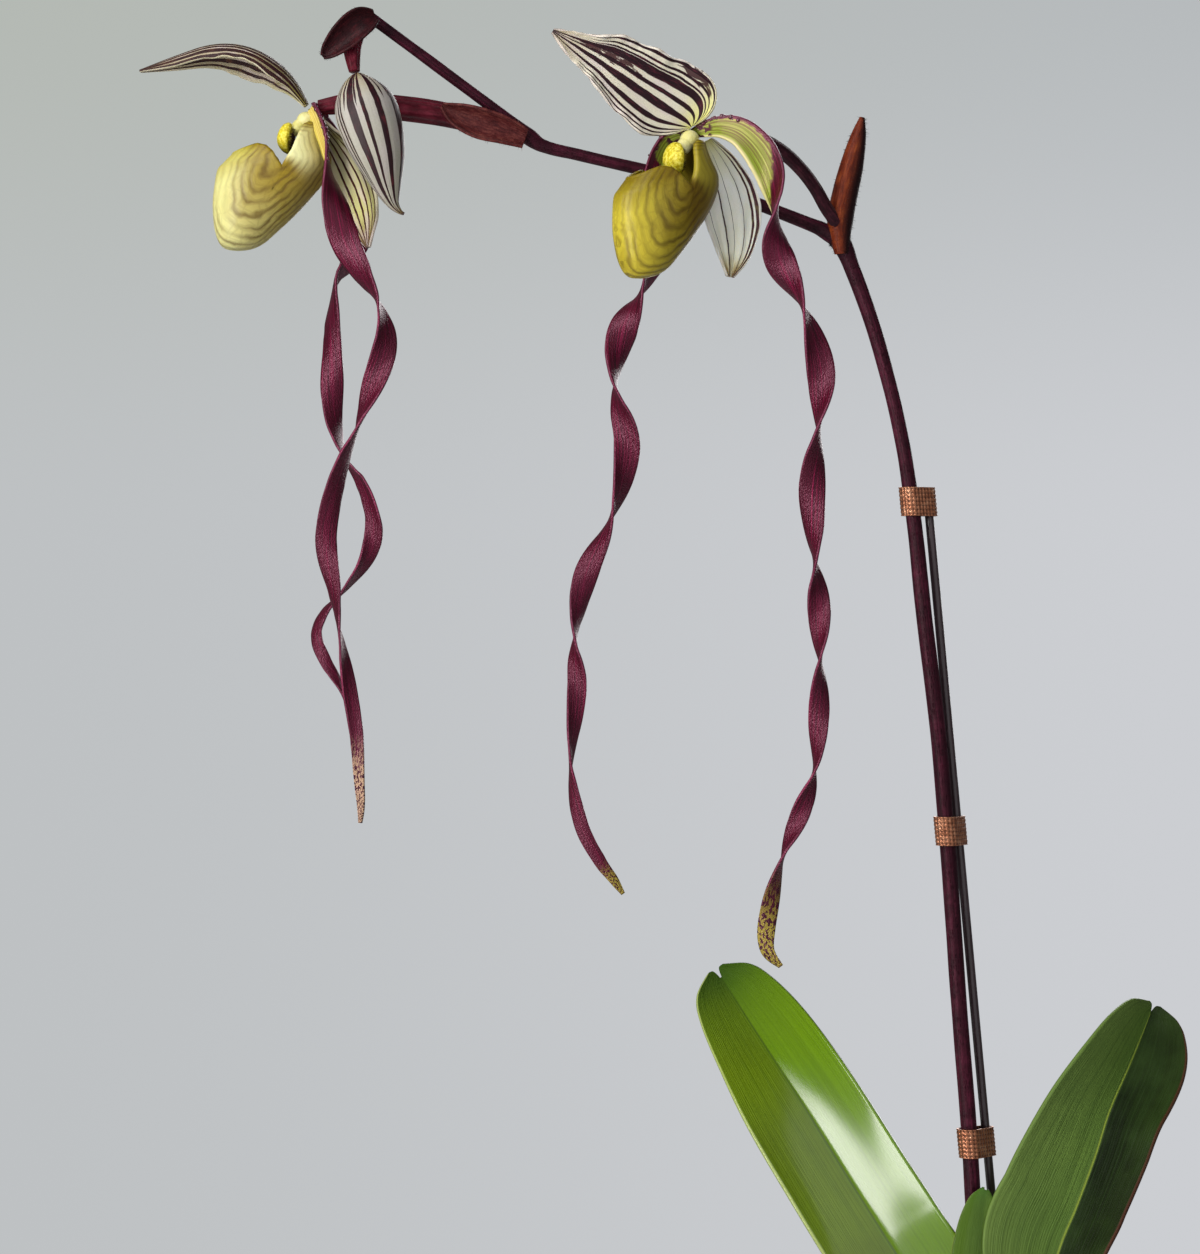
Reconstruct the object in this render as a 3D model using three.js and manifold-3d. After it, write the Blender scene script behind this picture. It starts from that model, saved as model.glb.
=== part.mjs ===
// A slipper orchid in its pot, in millimetres, +Z up, seen from -Y.
// The origin is the centre of the pot's flat underside.
import * as THREE from 'three';
import { mergeVertices } from 'three/addons/utils/BufferGeometryUtils.js';
import Module from 'manifold-3d';

const wasm = await Module();
wasm.setup();

// Clearance between two pieces that touch.
const seatGap = 0.3;

// Driving dimensions of the pot and what fills it.
const potHeight = 95;
const potRimRadius = 55;
const potBandRadius = 52.5;
const potFootRadius = 39;
const potWall = 4;
const potFloor = 5;
const rimBandHeight = 13;
const mediumLevel = 85;

// Thickness of the living blades.
const leafThickness = 1.0;
const sepalThickness = 0.7;
const petalThickness = 0.7;
const bractThickness = 0.7;
const pouchThickness = 0.9;

const group = new THREE.Group();
const radians = THREE.MathUtils.degToRad;

const potClay = new THREE.MeshStandardMaterial({ color: '#55595c', roughness: 0.65, metalness: 0 });
const bark = new THREE.MeshStandardMaterial({ color: '#6b4429', roughness: 0.9, metalness: 0 });
const leafGreen = new THREE.MeshStandardMaterial({ color: '#5d8f2f', roughness: 0.35, metalness: 0 });
const stemMaroon = new THREE.MeshStandardMaterial({ color: '#3b1a22', roughness: 0.6, metalness: 0 });
const stakeGrey = new THREE.MeshStandardMaterial({ color: '#4a4144', roughness: 0.5, metalness: 0 });
const tieCopper = new THREE.MeshStandardMaterial({ color: '#b87f5e', roughness: 0.45, metalness: 0.8 });
const bractBrown = new THREE.MeshStandardMaterial({ color: '#6d2f22', roughness: 0.6, metalness: 0 });
const sepalCream = new THREE.MeshStandardMaterial({ color: '#e6dfc9', roughness: 0.5, metalness: 0 });
const petalMaroon = new THREE.MeshStandardMaterial({ color: '#6a1635', roughness: 0.4, metalness: 0 });
const pouchOchre = new THREE.MeshStandardMaterial({ color: '#b9a23a', roughness: 0.35, metalness: 0 });
const columnYellow = new THREE.MeshStandardMaterial({ color: '#d6c64e', roughness: 0.5, metalness: 0 });

// Smooth curve through rows of numbers; u runs from 0 to the index of the last row.
function rowAt(rows, u) {
  const last = rows.length - 1;
  const i = Math.min(Math.floor(u), last - 1);
  const f = u - i;
  const before = rows[Math.max(i - 1, 0)];
  const after = rows[Math.min(i + 2, last)];
  return rows[i].map((start, k) => {
    const end = rows[i + 1][k];
    const slopeIn = (end - before[k]) / 2;
    const slopeOut = (after[k] - start) / 2;
    const bend = (2 * f - 3) * f * f;
    return start * (1 + bend) - end * bend
      + slopeIn * f * (1 - f) * (1 - f) - slopeOut * f * f * (1 - f);
  });
}

// Place, direction, and the two directions square to it: one across the view, one away from it.
function frameAt(rows, u) {
  const step = 0.02;
  const here = rowAt(rows, u);
  const behind = rowAt(rows, Math.max(u - step, 0));
  const ahead = rowAt(rows, Math.min(u + step, rows.length - 1));
  const along = new THREE.Vector3(ahead[0] - behind[0], ahead[1] - behind[1], ahead[2] - behind[2]);
  along.normalize();
  const across = new THREE.Vector3(-along.z, 0, along.x).normalize();
  const away = new THREE.Vector3().crossVectors(across, along);
  return { row: here, centre: new THREE.Vector3(here[0], here[1], here[2]), along, across, away };
}

// Welded copy of a geometry that keeps only its places, without collapsed triangles.
function weld(geometry) {
  const bare = geometry.clone();
  bare.deleteAttribute('normal');
  bare.deleteAttribute('uv');
  const welded = mergeVertices(bare, 1e-4);
  const kept = [];
  for (let i = 0; i < welded.index.count; i += 3) {
    const [a, b, c] = [welded.index.getX(i), welded.index.getX(i + 1), welded.index.getX(i + 2)];
    if (a !== b && b !== c && c !== a) kept.push(a, b, c);
  }
  welded.setIndex(kept);
  return welded;
}

// Solid from a closed geometry, turned outward where its faces point in.
function solidOf(geometry) {
  const welded = weld(geometry);
  const vertProperties = new Float32Array(welded.attributes.position.array);
  const triVerts = new Uint32Array(welded.index.array);
  const solid = new wasm.Manifold(new wasm.Mesh({ numProp: 3, vertProperties, triVerts }));
  if (solid.volume() > 0) return solid;
  triVerts.reverse();
  return new wasm.Manifold(new wasm.Mesh({ numProp: 3, vertProperties, triVerts }));
}

// Largest body of a solid, as a geometry.
function geometryOf(solid) {
  const bodies = solid.decompose().sort((a, b) => b.volume() - a.volume());
  const mesh = bodies[0].getMesh();
  const geometry = new THREE.BufferGeometry();
  geometry.setAttribute('position', new THREE.BufferAttribute(new Float32Array(mesh.vertProperties), 3));
  geometry.setIndex(new THREE.BufferAttribute(new Uint32Array(mesh.triVerts), 1));
  geometry.computeVertexNormals();
  return geometry;
}

// Sheet thickened to both sides, its triangles split alike on both faces and its free edges closed.
function thicken(sheet, thickness) {
  const skin = weld(sheet);
  skin.computeVertexNormals();
  const places = skin.attributes.position;
  const normals = skin.attributes.normal;
  const triangles = Array.from(skin.index.array);
  const count = places.count;
  const points = [];
  for (const side of [0.5, -0.5]) {
    for (let i = 0; i < count; i += 1) {
      points.push(
        places.getX(i) + normals.getX(i) * thickness * side,
        places.getY(i) + normals.getY(i) * thickness * side,
        places.getZ(i) + normals.getZ(i) * thickness * side,
      );
    }
  }
  const edges = new Set();
  for (let i = 0; i < triangles.length; i += 3) {
    for (let k = 0; k < 3; k += 1) edges.add(`${triangles[i + k]},${triangles[i + (k + 1) % 3]}`);
  }
  const faces = [...triangles];
  for (let i = 0; i < triangles.length; i += 3) {
    faces.push(triangles[i] + count, triangles[i + 2] + count, triangles[i + 1] + count);
  }
  for (const edge of edges) {
    const [a, b] = edge.split(',').map(Number);
    if (edges.has(`${b},${a}`)) continue;
    faces.push(a, a + count, b);
    faces.push(b, a + count, b + count);
  }
  const geometry = new THREE.BufferGeometry();
  geometry.setAttribute('position', new THREE.Float32BufferAttribute(points, 3));
  geometry.setIndex(faces);
  return geometry;
}

// Leaf, sepal, petal or bract. A row is x, y, z, half width on each side and turn in degrees.
// roll bends the width into an arc, fold bends it at the midrib, and ruffle waves the margins.
function blade({ rows, thickness, columns, steps, roll = 0, fold = 0, ruffle = 0, waves = 0 }, grow = 0) {
  const spans = rows.length - 1;
  const lengthwise = spans * steps;
  const sheet = new THREE.PlaneGeometry(2, 1, columns, lengthwise);
  const places = sheet.attributes.position;
  const point = new THREE.Vector3();
  for (let j = 0; j <= lengthwise; j += 1) {
    const { row, centre, along, across, away } = frameAt(rows, j / steps);
    const turn = radians(row[5]);
    const wide = across.clone().multiplyScalar(Math.cos(turn)).addScaledVector(away, Math.sin(turn));
    const front = new THREE.Vector3().crossVectors(along, wide);
    if (j === 0) centre.addScaledVector(along, -grow);
    if (j === lengthwise) centre.addScaledVector(along, grow);
    for (let i = 0; i <= columns; i += 1) {
      const s = -1 + 2 * i / columns;
      const half = (s < 0 ? row[3] : row[4]) + grow;
      const arc = radians(roll || 0.1);
      const fade = Math.sin(Math.PI * j / lengthwise);
      const lift = half * (1 - Math.cos(s * arc)) / arc
        + half * Math.abs(s) * Math.sin(radians(fold))
        + ruffle * s ** 4 * fade * Math.sin(waves * Math.PI * 2 * j / lengthwise + s);
      const reach = half * Math.cos(radians(fold)) * Math.sin(s * arc) / arc;
      point.copy(centre).addScaledVector(wide, reach).addScaledVector(front, lift);
      places.setXYZ(j * (columns + 1) + i, point.x, point.y, point.z);
    }
  }
  return solidOf(thicken(sheet, thickness + 2 * grow));
}

// Round stem along rows of x, y, z and diameter, with shallow ribs where ribs is set.
function stem({ rows, sides, steps, ribs = 0, ribDepth = 0 }, grow = 0) {
  const lengthwise = (rows.length - 1) * steps;
  const rod = new THREE.CylinderGeometry(1, 1, 1, sides, lengthwise);
  const places = rod.attributes.position;
  const point = new THREE.Vector3();
  for (let i = 0; i < places.count; i += 1) {
    const share = THREE.MathUtils.clamp(0.5 - places.getY(i), 0, 1);
    const { row, centre, along, across, away } = frameAt(rows, share * (rows.length - 1));
    if (share === 0) centre.addScaledVector(along, -grow);
    if (share === 1) centre.addScaledVector(along, grow);
    const angle = Math.atan2(places.getX(i), places.getZ(i));
    const reach = Math.hypot(places.getX(i), places.getZ(i));
    const radius = (row[3] / 2 * (1 + ribDepth * Math.cos(ribs * angle)) + grow) * reach;
    point.copy(centre);
    point.addScaledVector(across, Math.cos(angle) * radius);
    point.addScaledVector(away, Math.sin(angle) * radius);
    places.setXYZ(i, point.x, point.y, point.z);
  }
  return solidOf(rod);
}

// Adds a node: its solid less its neighbours, each grown by the seat gap.
function addNode(name, material, solid, neighbours = []) {
  const cut = neighbours.reduce((rest, neighbour) => rest.subtract(neighbour), solid);
  const mesh = new THREE.Mesh(geometryOf(cut), material);
  mesh.name = name;
  group.add(mesh);
  return mesh;
}

// Pot: a plain tapered round pot with a band at its rim.
const potInnerRim = potBandRadius - potWall / 2;
const potInnerFoot = potFootRadius - 1;
const potProfile = [
  [0, 0],
  [potFootRadius - 1, 0],
  [potFootRadius, 1],
  [potBandRadius - 1, potHeight - rimBandHeight],
  [potRimRadius, potHeight - rimBandHeight],
  [potRimRadius, potHeight - 1],
  [potRimRadius - 1, potHeight],
  [potInnerRim, potHeight],
  [potInnerFoot, potFloor],
  [0, potFloor],
].map(([radius, height]) => new THREE.Vector2(radius, height));
const potLathe = new THREE.LatheGeometry(potProfile, 32).rotateX(Math.PI / 2);
addNode('pot', potClay, solidOf(potLathe));

// Flower stem, from inside the medium up to the bud: x, y, z, diameter.
const flowerStem = {
  sides: 8,
  steps: 2,
  rows: [
    [-0.2, 0, 67.5, 4.2],
    [-2.0, 0, 97.5, 4.2],
    [-5.0, -0.2, 135, 4.1],
    [-6.9, -0.4, 166.3, 4.0],
    [-9.2, -0.5, 195, 4.0],
    [-11.3, -0.6, 225, 4.0],
    [-14.3, -0.6, 262, 4.0],
    [-18.0, -0.3, 293.5, 4.0],
    [-20.6, 0, 318, 3.8],
    [-24.0, 0, 340, 3.6],
    [-30.0, 0, 363.5, 3.7],
    [-36.0, 0, 380.5, 4.0],
    [-38.8, 0, 386.8, 5.0],
    [-42.0, 0.3, 389.3, 4.2],
    [-48.5, 0.6, 392.3, 3.3],
    [-72.5, 1.2, 401.2, 3.1],
    [-99.0, 0.5, 407.6, 3.0],
    [-112.0, 0, 410.6, 3.2],
    [-117.0, -0.4, 413.4, 4.2],
    [-122.4, -1, 417.8, 3.0],
    [-144.2, -5, 433.6, 2.7],
    [-156.2, -8.4, 442, 2.8],
  ],
};
const stakeFoot = new THREE.Vector3(9.2, 5.4, 42);
const stakeTop = new THREE.Vector3(-17.3, 1.7, 327);
const stakeDiameter = 2.2;

// Straight rod between two points.
function rod(from, to, diameter, sides) {
  const length = from.distanceTo(to);
  const geometry = new THREE.CylinderGeometry(diameter / 2, diameter / 2, length, sides);
  const direction = new THREE.Vector3().subVectors(to, from).normalize();
  geometry.applyQuaternion(new THREE.Quaternion().setFromUnitVectors(new THREE.Vector3(0, 1, 0), direction));
  geometry.translate(...new THREE.Vector3().addVectors(from, to).multiplyScalar(0.5).toArray());
  return solidOf(geometry);
}

const stemGrown = stem(flowerStem, seatGap);
const stakeGrown = rod(stakeFoot.clone().setZ(stakeFoot.z - 0.4), stakeTop, stakeDiameter + 2 * seatGap, 10);
addNode('flower_stem', stemMaroon, stem(flowerStem));
addNode('stake', stakeGrey, rod(stakeFoot, stakeTop, stakeDiameter, 10));

// Leaves: strap blades folded along the midrib.
const leaves = {
  leaf_left: {
    thickness: leafThickness, columns: 6, steps: 2, roll: 12, fold: 20, ruffle: 0.8, waves: 2,
    rows: [
      [-6.6, 5, 74, 3.2, 3.2, 0],
      [-8.0, 6, 90, 4.6, 4.6, 0],
      [-13.2, 9, 109.5, 10.5, 10.5, 0],
      [-19.3, 13, 124, 16.0, 16.4, 0],
      [-26.7, 16, 136, 16.4, 16.6, 0],
      [-34.6, 20, 148.4, 16.2, 16.4, 0],
      [-46.5, 27, 167.4, 15.8, 16.0, 0],
      [-56.2, 34, 182.1, 14.6, 13.8, 0],
      [-63.0, 39.5, 192.4, 11.8, 11.4, 0],
      [-66.4, 42, 197.6, 8.6, 8.4, 0],
      [-68.6, 43.5, 201, 2.4, 2.4, 0],
    ],
  },
  leaf_right: {
    thickness: leafThickness, columns: 6, steps: 2, roll: 12, fold: 32, ruffle: 0.8, waves: 2,
    rows: [
      [5.2, -3, 76, 3.2, 3.2, 0],
      [5.2, -3, 92, 4.6, 4.6, 4],
      [9.4, -3, 112, 10, 12, 12],
      [15.3, -2, 134, 15.2, 20.2, 22],
      [20.6, 1, 146, 16.2, 20.2, 22],
      [25.7, 5, 158, 16.4, 18.8, 18],
      [29.8, 10, 168.5, 16, 16.8, 10],
      [35.8, 17, 179.4, 14.4, 14.6, 2],
      [40.0, 22.5, 187, 11, 10.8, 0],
      [42.0, 25, 190.8, 7.6, 7.4, 0],
      [43.3, 26.5, 193.3, 2.2, 2.2, 0],
    ],
  },
  leaf_centre: {
    thickness: leafThickness, columns: 4, steps: 2, roll: -25, fold: 0,
    rows: [
      [-2.0, -6.8, 78, 2.2, 2.2, 0],
      [-2.8, -6.8, 95, 4.2, 4.2, 0],
      [-5.0, -6.2, 114, 6.0, 6.0, 0],
      [-5.8, -5.8, 131, 6.2, 6.2, 0],
      [-5.0, -5.6, 141, 4.9, 4.9, 0],
      [-4.2, -5.6, 147.5, 2.6, 2.6, 0],
      [-3.4, -5.6, 151, 0.7, 0.7, 0],
    ],
  },
};
const leavesGrown = Object.values(leaves).map((leaf) => blade(leaf, seatGap));
Object.entries(leaves).forEach(([name, leaf], index) => {
  addNode(name, leafGreen, blade(leaf), [stemGrown, stakeGrown, ...leavesGrown.slice(0, index)]);
});

// Growing medium: a plug of bark with loose chips on top, holed for what stands in it.
const chipCount = 24;
const plugTop = THREE.MathUtils.mapLinear(mediumLevel, potFloor, potHeight, potInnerFoot, potInnerRim);
const plugProfile = [
  [0, potFloor + seatGap],
  [potInnerFoot - seatGap, potFloor + seatGap],
  [plugTop - 2 * seatGap, mediumLevel],
  [0, mediumLevel],
].map(([radius, height]) => new THREE.Vector2(radius, height));
const randomChip = (() => {
  let seed = 7;
  return () => {
    seed = (seed * 16807) % 2147483647;
    return seed / 2147483647;
  };
})();
const goldenAngle = Math.PI * (3 - Math.sqrt(5));
const chips = [];
for (let i = 0; i < chipCount; i += 1) {
  const ring = (plugTop - 9) * Math.sqrt((i + 0.5) / chipCount);
  const chip = new THREE.BoxGeometry(11 + 6 * randomChip(), 8 + 4 * randomChip(), 3.2);
  chip.rotateX(radians(-14 + 28 * randomChip()));
  chip.rotateZ(Math.PI * randomChip());
  chip.translate(
    ring * Math.cos(i * goldenAngle),
    ring * Math.sin(i * goldenAngle),
    mediumLevel + 0.4 + 0.9 * randomChip(),
  );
  chips.push(solidOf(chip));
}
const plugLathe = new THREE.LatheGeometry(plugProfile, 32).rotateX(Math.PI / 2);
const medium = chips.reduce((whole, chip) => whole.add(chip), solidOf(plugLathe));
addNode('bark_medium', bark, medium, [stemGrown, stakeGrown, ...leavesGrown]);

// Ties: mesh bands that hold stem and stake together.
const tieWall = 0.8;
const tieHeight = 7.2;
const tieCentres = { tie_top: 322.1, tie_middle: 239.8, tie_bottom: 161.8 };

// Outline round two circles of different size, drawn as a band round both would lie.
function bandOutline(path, first, second, spread) {
  const angle = Math.atan2(second.y - first.y, second.x - first.x);
  const gapAcross = Math.hypot(second.x - first.x, second.y - first.y);
  const tilt = Math.acos((first.radius - second.radius) / gapAcross);
  path.absarc(first.x, first.y, first.radius + spread, angle + tilt, angle - tilt + 2 * Math.PI, false);
  path.absarc(second.x, second.y, second.radius + spread, angle - tilt, angle + tilt, false);
  path.closePath();
  return path;
}

// Centre of the flower stem at a height below the middle node.
function stemCentreAt(height) {
  let low = 0;
  let high = 11;
  while (high - low > 1e-4) {
    const middle = (low + high) / 2;
    if (rowAt(flowerStem.rows, middle)[2] < height) low = middle;
    else high = middle;
  }
  const [x, y, , diameter] = rowAt(flowerStem.rows, low);
  return { x, y, radius: diameter / 2 };
}

for (const [name, height] of Object.entries(tieCentres)) {
  const share = (height - stakeFoot.z) / (stakeTop.z - stakeFoot.z);
  const onStake = new THREE.Vector3().lerpVectors(stakeFoot, stakeTop, share);
  const stakeCircle = { x: onStake.x, y: onStake.y, radius: stakeDiameter / 2 };
  const stemCircle = stemCentreAt(height);
  const outline = bandOutline(new THREE.Shape(), stemCircle, stakeCircle, seatGap + tieWall);
  outline.holes.push(bandOutline(new THREE.Path(), stemCircle, stakeCircle, seatGap));
  const settings = { depth: tieHeight, bevelEnabled: false, curveSegments: 6 };
  const band = new THREE.ExtrudeGeometry(outline, settings);
  const lean = (stakeTop.x - stakeFoot.x) / (stakeTop.z - stakeFoot.z);
  band.translate(0, 0, -tieHeight / 2);
  band.applyMatrix4(new THREE.Matrix4().makeShear(0, 0, 0, 0, lean, 0));
  band.translate(0, 0, height);
  addNode(name, tieCopper, solidOf(band), [stemGrown, stakeGrown]);
}

// Ovaries: x, y, z, diameter, from the stem to the flower.
const ovaries = {
  middle: {
    sides: 8, steps: 2,
    rows: [
      [-42.6, -3.6, 395, 3.2],
      [-45.6, -6, 399.8, 3.2],
      [-49.4, -9.5, 404.1, 3.3],
      [-54.2, -13.5, 407.8, 3.5],
      [-60.3, -18, 410.4, 3.7],
      [-67, -22, 411.8, 3.7],
      [-73.6, -23.8, 412.2, 3.4],
    ],
  },
  left: {
    sides: 12, steps: 2, ribs: 6, ribDepth: 0.07,
    rows: [
      [-119.6, -0.4, 414.2, 2.8],
      [-129, 0.6, 416.8, 5.0],
      [-139.1, 1.5, 419.3, 5.8],
      [-149.1, 2.2, 420.8, 5.9],
      [-160.4, 2.8, 422.0, 5.2],
      [-169.6, 3, 421.0, 3.6],
    ],
  },
  bud: {
    sides: 10, steps: 2,
    rows: [
      [-158.4, -9.2, 439.8, 4.2],
      [-160.2, -10.2, 434.6, 4.4],
      [-159.6, -11.7, 427.8, 2.6],
    ],
  },
};

// Bracts: sheaths rolled round the foot of each ovary.
const bracts = {
  bract_middle: {
    thickness: bractThickness, columns: 4, steps: 2, roll: -95,
    rows: [
      [-38.6, -3.2, 383.6, 4.4, 4.4, 0],
      [-39.0, -3.4, 391.9, 5.0, 5.0, 0],
      [-37.8, -2.8, 398.7, 4.9, 4.9, 0],
      [-36.0, -2.2, 406.2, 4.4, 4.4, 0],
      [-34.4, -1.6, 413.4, 2.8, 2.8, 0],
      [-33.5, -1.2, 418, 0.6, 0.6, 0],
    ],
  },
  bract_left: {
    thickness: bractThickness, columns: 4, steps: 2, roll: 80,
    rows: [
      [-117.6, -3.1, 412.2, 3.2, 3.2, 0],
      [-123, -3.4, 414.2, 4.6, 4.6, 0],
      [-129, -3.4, 415.9, 5.2, 5.2, 0],
      [-134.5, -3.0, 418.2, 3.8, 3.8, 0],
      [-138.4, -2.6, 420.8, 0.7, 0.7, 0],
    ],
  },
  bract_bud: {
    thickness: bractThickness, columns: 4, steps: 2, roll: 70,
    rows: [
      [-154.6, -10.4, 441.6, 1.8, 1.8, 0],
      [-158.0, -12.4, 439.6, 4.4, 4.4, 0],
      [-161.8, -12.8, 436.2, 4.4, 4.4, 0],
      [-165.6, -12.4, 432.9, 2.6, 2.6, 0],
      [-167.4, -12.0, 431.4, 0.6, 0.6, 0],
    ],
  },
};

// Petals: long ribbons that wind as they hang; x, y, z, width, turn in degrees.
const petals = {
  petal_left_near: [
    [-171.2, 1.6, 420.8, 3.4, -40],
    [-169.5, -1, 417.5, 5.0, -55],
    [-167.4, -4, 411.5, 6.4, -70],
    [-166.0, -6.6, 404.6, 6.9, -95],
    [-164.4, -8.2, 395.3, 7.2, -150],
    [-162.4, -9, 387, 7.4, -185],
    [-158.4, -9.5, 378.6, 7.1, -225],
    [-154.1, -10, 370.9, 6.8, -270],
    [-152.2, -10, 361.2, 6.5, -325],
    [-155.1, -10, 350.1, 6.3, -390],
    [-159.3, -10, 338.5, 6.0, -450],
    [-163.8, -10, 327.1, 5.7, -490],
    [-166.7, -10, 313.2, 5.3, -530],
    [-165.0, -10, 299.9, 5.0, -590],
    [-163.5, -10, 289, 4.6, -630],
    [-161.3, -10, 276.9, 4.2, -680],
    [-159.3, -10, 265, 3.4, -715],
    [-158.6, -10, 254.2, 2.8, -735],
    [-158.1, -10, 246.7, 2.0, -745],
    [-158.3, -10, 242.3, 0.9, -750],
  ],
  petal_left_far: [
    [-170.9, 5.2, 421.2, 3.4, -30],
    [-167.9, 11, 415.4, 6.0, -10],
    [-163.1, 15, 404.4, 6.8, 0],
    [-160.3, 16, 391.8, 7.0, 20],
    [-163.4, 16, 383.6, 6.6, 60],
    [-166.4, 16, 378.8, 6.4, 90],
    [-167.3, 16, 369.4, 6.2, 125],
    [-167.3, 16, 359.7, 6.0, 150],
    [-166.7, 16, 344.7, 5.6, 220],
    [-163.6, 15, 334, 5.4, 270],
    [-159.2, 14, 327.1, 5.2, 300],
    [-156.3, 13, 317.4, 5.0, 325],
    [-158.2, 14, 308.5, 4.6, 400],
    [-164.8, 15, 299.6, 4.2, 450],
    [-169.4, 15, 294.3, 3.9, 480],
    [-171.2, 15, 288.5, 3.5, 500],
    [-168.6, 14, 281.9, 3.0, 550],
    [-164.4, 13, 275.3, 2.6, 600],
    [-162.3, 12, 269.2, 2.0, 620],
    [-161.3, 12, 264.1, 0.9, 630],
  ],
  petal_middle_right: [
    [-72.6, -26, 412.2, 3.6, 0],
    [-69.2, -28, 411.9, 5.6, 0],
    [-64.7, -30.5, 410.0, 7.2, 0],
    [-60.3, -33, 404.9, 8.2, -8],
    [-57.4, -35, 398.2, 8.0, -38],
    [-56.5, -36, 390.4, 7.2, -90],
    [-56.1, -37, 379.4, 7.6, -180],
    [-50.8, -37, 367.9, 7.2, -270],
    [-46.1, -37, 352.6, 6.9, -360],
    [-46.3, -37, 338.9, 6.6, -450],
    [-48.1, -37, 323.6, 6.4, -540],
    [-47.7, -37, 306.8, 6.0, -630],
    [-46.5, -37, 295.3, 5.6, -720],
    [-46.0, -37, 283.3, 5.3, -810],
    [-46.5, -37, 270.4, 5.0, -900],
    [-47.7, -37, 256.7, 4.8, -990],
    [-50.8, -37, 246.4, 4.6, -1080],
    [-54.9, -37, 235.9, 4.4, -1170],
    [-58.5, -37, 222.4, 4.4, -1250],
    [-59.0, -37, 213.8, 3.6, -1275],
    [-55.6, -37, 209.4, 1.2, -1290],
  ],
  petal_middle_left: [
    [-77.6, -22.4, 410.6, 3.6, 20],
    [-82.3, -17, 409.2, 6.0, 30],
    [-84.7, -13, 402.9, 7.2, 20],
    [-85.2, -11.5, 393.2, 7.4, 25],
    [-85.2, -11, 382.7, 7.4, 50],
    [-88.9, -10.5, 373.8, 7.3, 90],
    [-93.6, -10.5, 363.6, 7.3, 180],
    [-95.0, -10.5, 350.3, 6.9, 270],
    [-92.3, -10.5, 335, 6.5, 360],
    [-96.3, -10.5, 318.2, 6.2, 450],
    [-102.7, -10.5, 303.1, 5.9, 540],
    [-104.9, -10.5, 288, 5.3, 630],
    [-104.7, -10.5, 275.2, 4.8, 720],
    [-106.4, -10.5, 256.7, 4.3, 810],
    [-103.9, -10.5, 242.6, 3.7, 880],
    [-99.2, -10.5, 233.2, 3.0, 905],
    [-95.8, -10.5, 228.5, 2.3, 910],
    [-93.3, -10.5, 224.8, 0.9, 910],
  ],
};

// Sepals: x, y, z, half width on each side, turn in degrees.
const sepals = {
  dorsal_sepal_middle: {
    thickness: sepalThickness, columns: 6, steps: 2, roll: 22, ruffle: 0.7, waves: 3.5,
    rows: [
      [-77.0, -25.4, 412.9, 6.4, 2.0, 0],
      [-78.4, -26, 413.9, 11.2, 4.0, 0],
      [-83.5, -28, 417.2, 11.8, 8.8, 0],
      [-88.6, -30, 420.4, 10.4, 9.0, 0],
      [-93.9, -32, 423.6, 9.8, 7.2, 0],
      [-98.3, -33, 426.6, 7.8, 5.4, 0],
      [-102.6, -34, 429.3, 4.6, 4.2, 0],
      [-106.6, -35, 431.6, 2.6, 2.6, 0],
      [-110.3, -36, 433.8, 0.6, 0.6, 0],
    ],
  },
  dorsal_sepal_left: {
    thickness: sepalThickness, columns: 6, steps: 2, roll: 70, ruffle: 0.6, waves: 3,
    rows: [
      [-172.3, 3, 421.9, 2.2, 2.2, 90],
      [-175.4, 3, 427.6, 6.8, 6.8, 90],
      [-179.4, 3, 431.8, 9.6, 9.6, 90],
      [-185.0, 3, 435.1, 10.4, 10.4, 90],
      [-191.0, 3, 436.6, 9.8, 9.8, 90],
      [-197.5, 3, 436.2, 8.2, 8.2, 90],
      [-205.2, 3, 433.7, 5.4, 5.4, 90],
      [-214.4, 3, 430.2, 0.7, 0.7, 90],
    ],
  },
  synsepal_left: {
    thickness: sepalThickness, columns: 6, steps: 2, roll: 30, ruffle: 0.4, waves: 2,
    rows: [
      [-170.0, 5.4, 418.6, 2.0, 2.0, -50],
      [-167.0, 6.4, 413.8, 6.0, 6.0, -50],
      [-163.6, 7.0, 408, 8.8, 8.8, -46],
      [-160.2, 7.0, 400.8, 9.2, 9.2, -44],
      [-158.0, 6.4, 393.2, 6.6, 6.6, -44],
      [-157.2, 5.6, 386.2, 0.8, 0.8, -50],
    ],
  },
  synsepal_middle: {
    thickness: sepalThickness, columns: 6, steps: 2, roll: 35, ruffle: 0.4, waves: 2,
    rows: [
      [-73.4, -21.6, 409.2, 2.0, 2.0, 20],
      [-70.9, -19.2, 403.6, 5.6, 5.6, 20],
      [-68.6, -18, 397, 7.8, 7.8, 20],
      [-67.0, -18, 389.4, 7.6, 7.6, 20],
      [-66.6, -18.4, 382.4, 5.0, 5.0, 20],
      [-67.2, -19, 376.4, 1.0, 1.0, 20],
    ],
  },
};

// Flower frames: the place of the column's foot, the way the flower faces and nods, and its size.
const flowers = {
  left: { foot: [-171.7, 3, 419.9], facing: 180, nod: 0, size: 1 },
  middle: { foot: [-76.6, -24.4, 411.6], facing: 210, nod: 7, size: 1.0 },
};

// Puts a geometry drawn in flower terms (x forward, z up, foot at 0) where the flower is.
function placeInFlower(geometry, { foot, facing, nod, size }) {
  geometry.scale(size, size, size).rotateY(radians(nod)).rotateZ(radians(facing));
  return geometry.translate(...foot);
}

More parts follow.
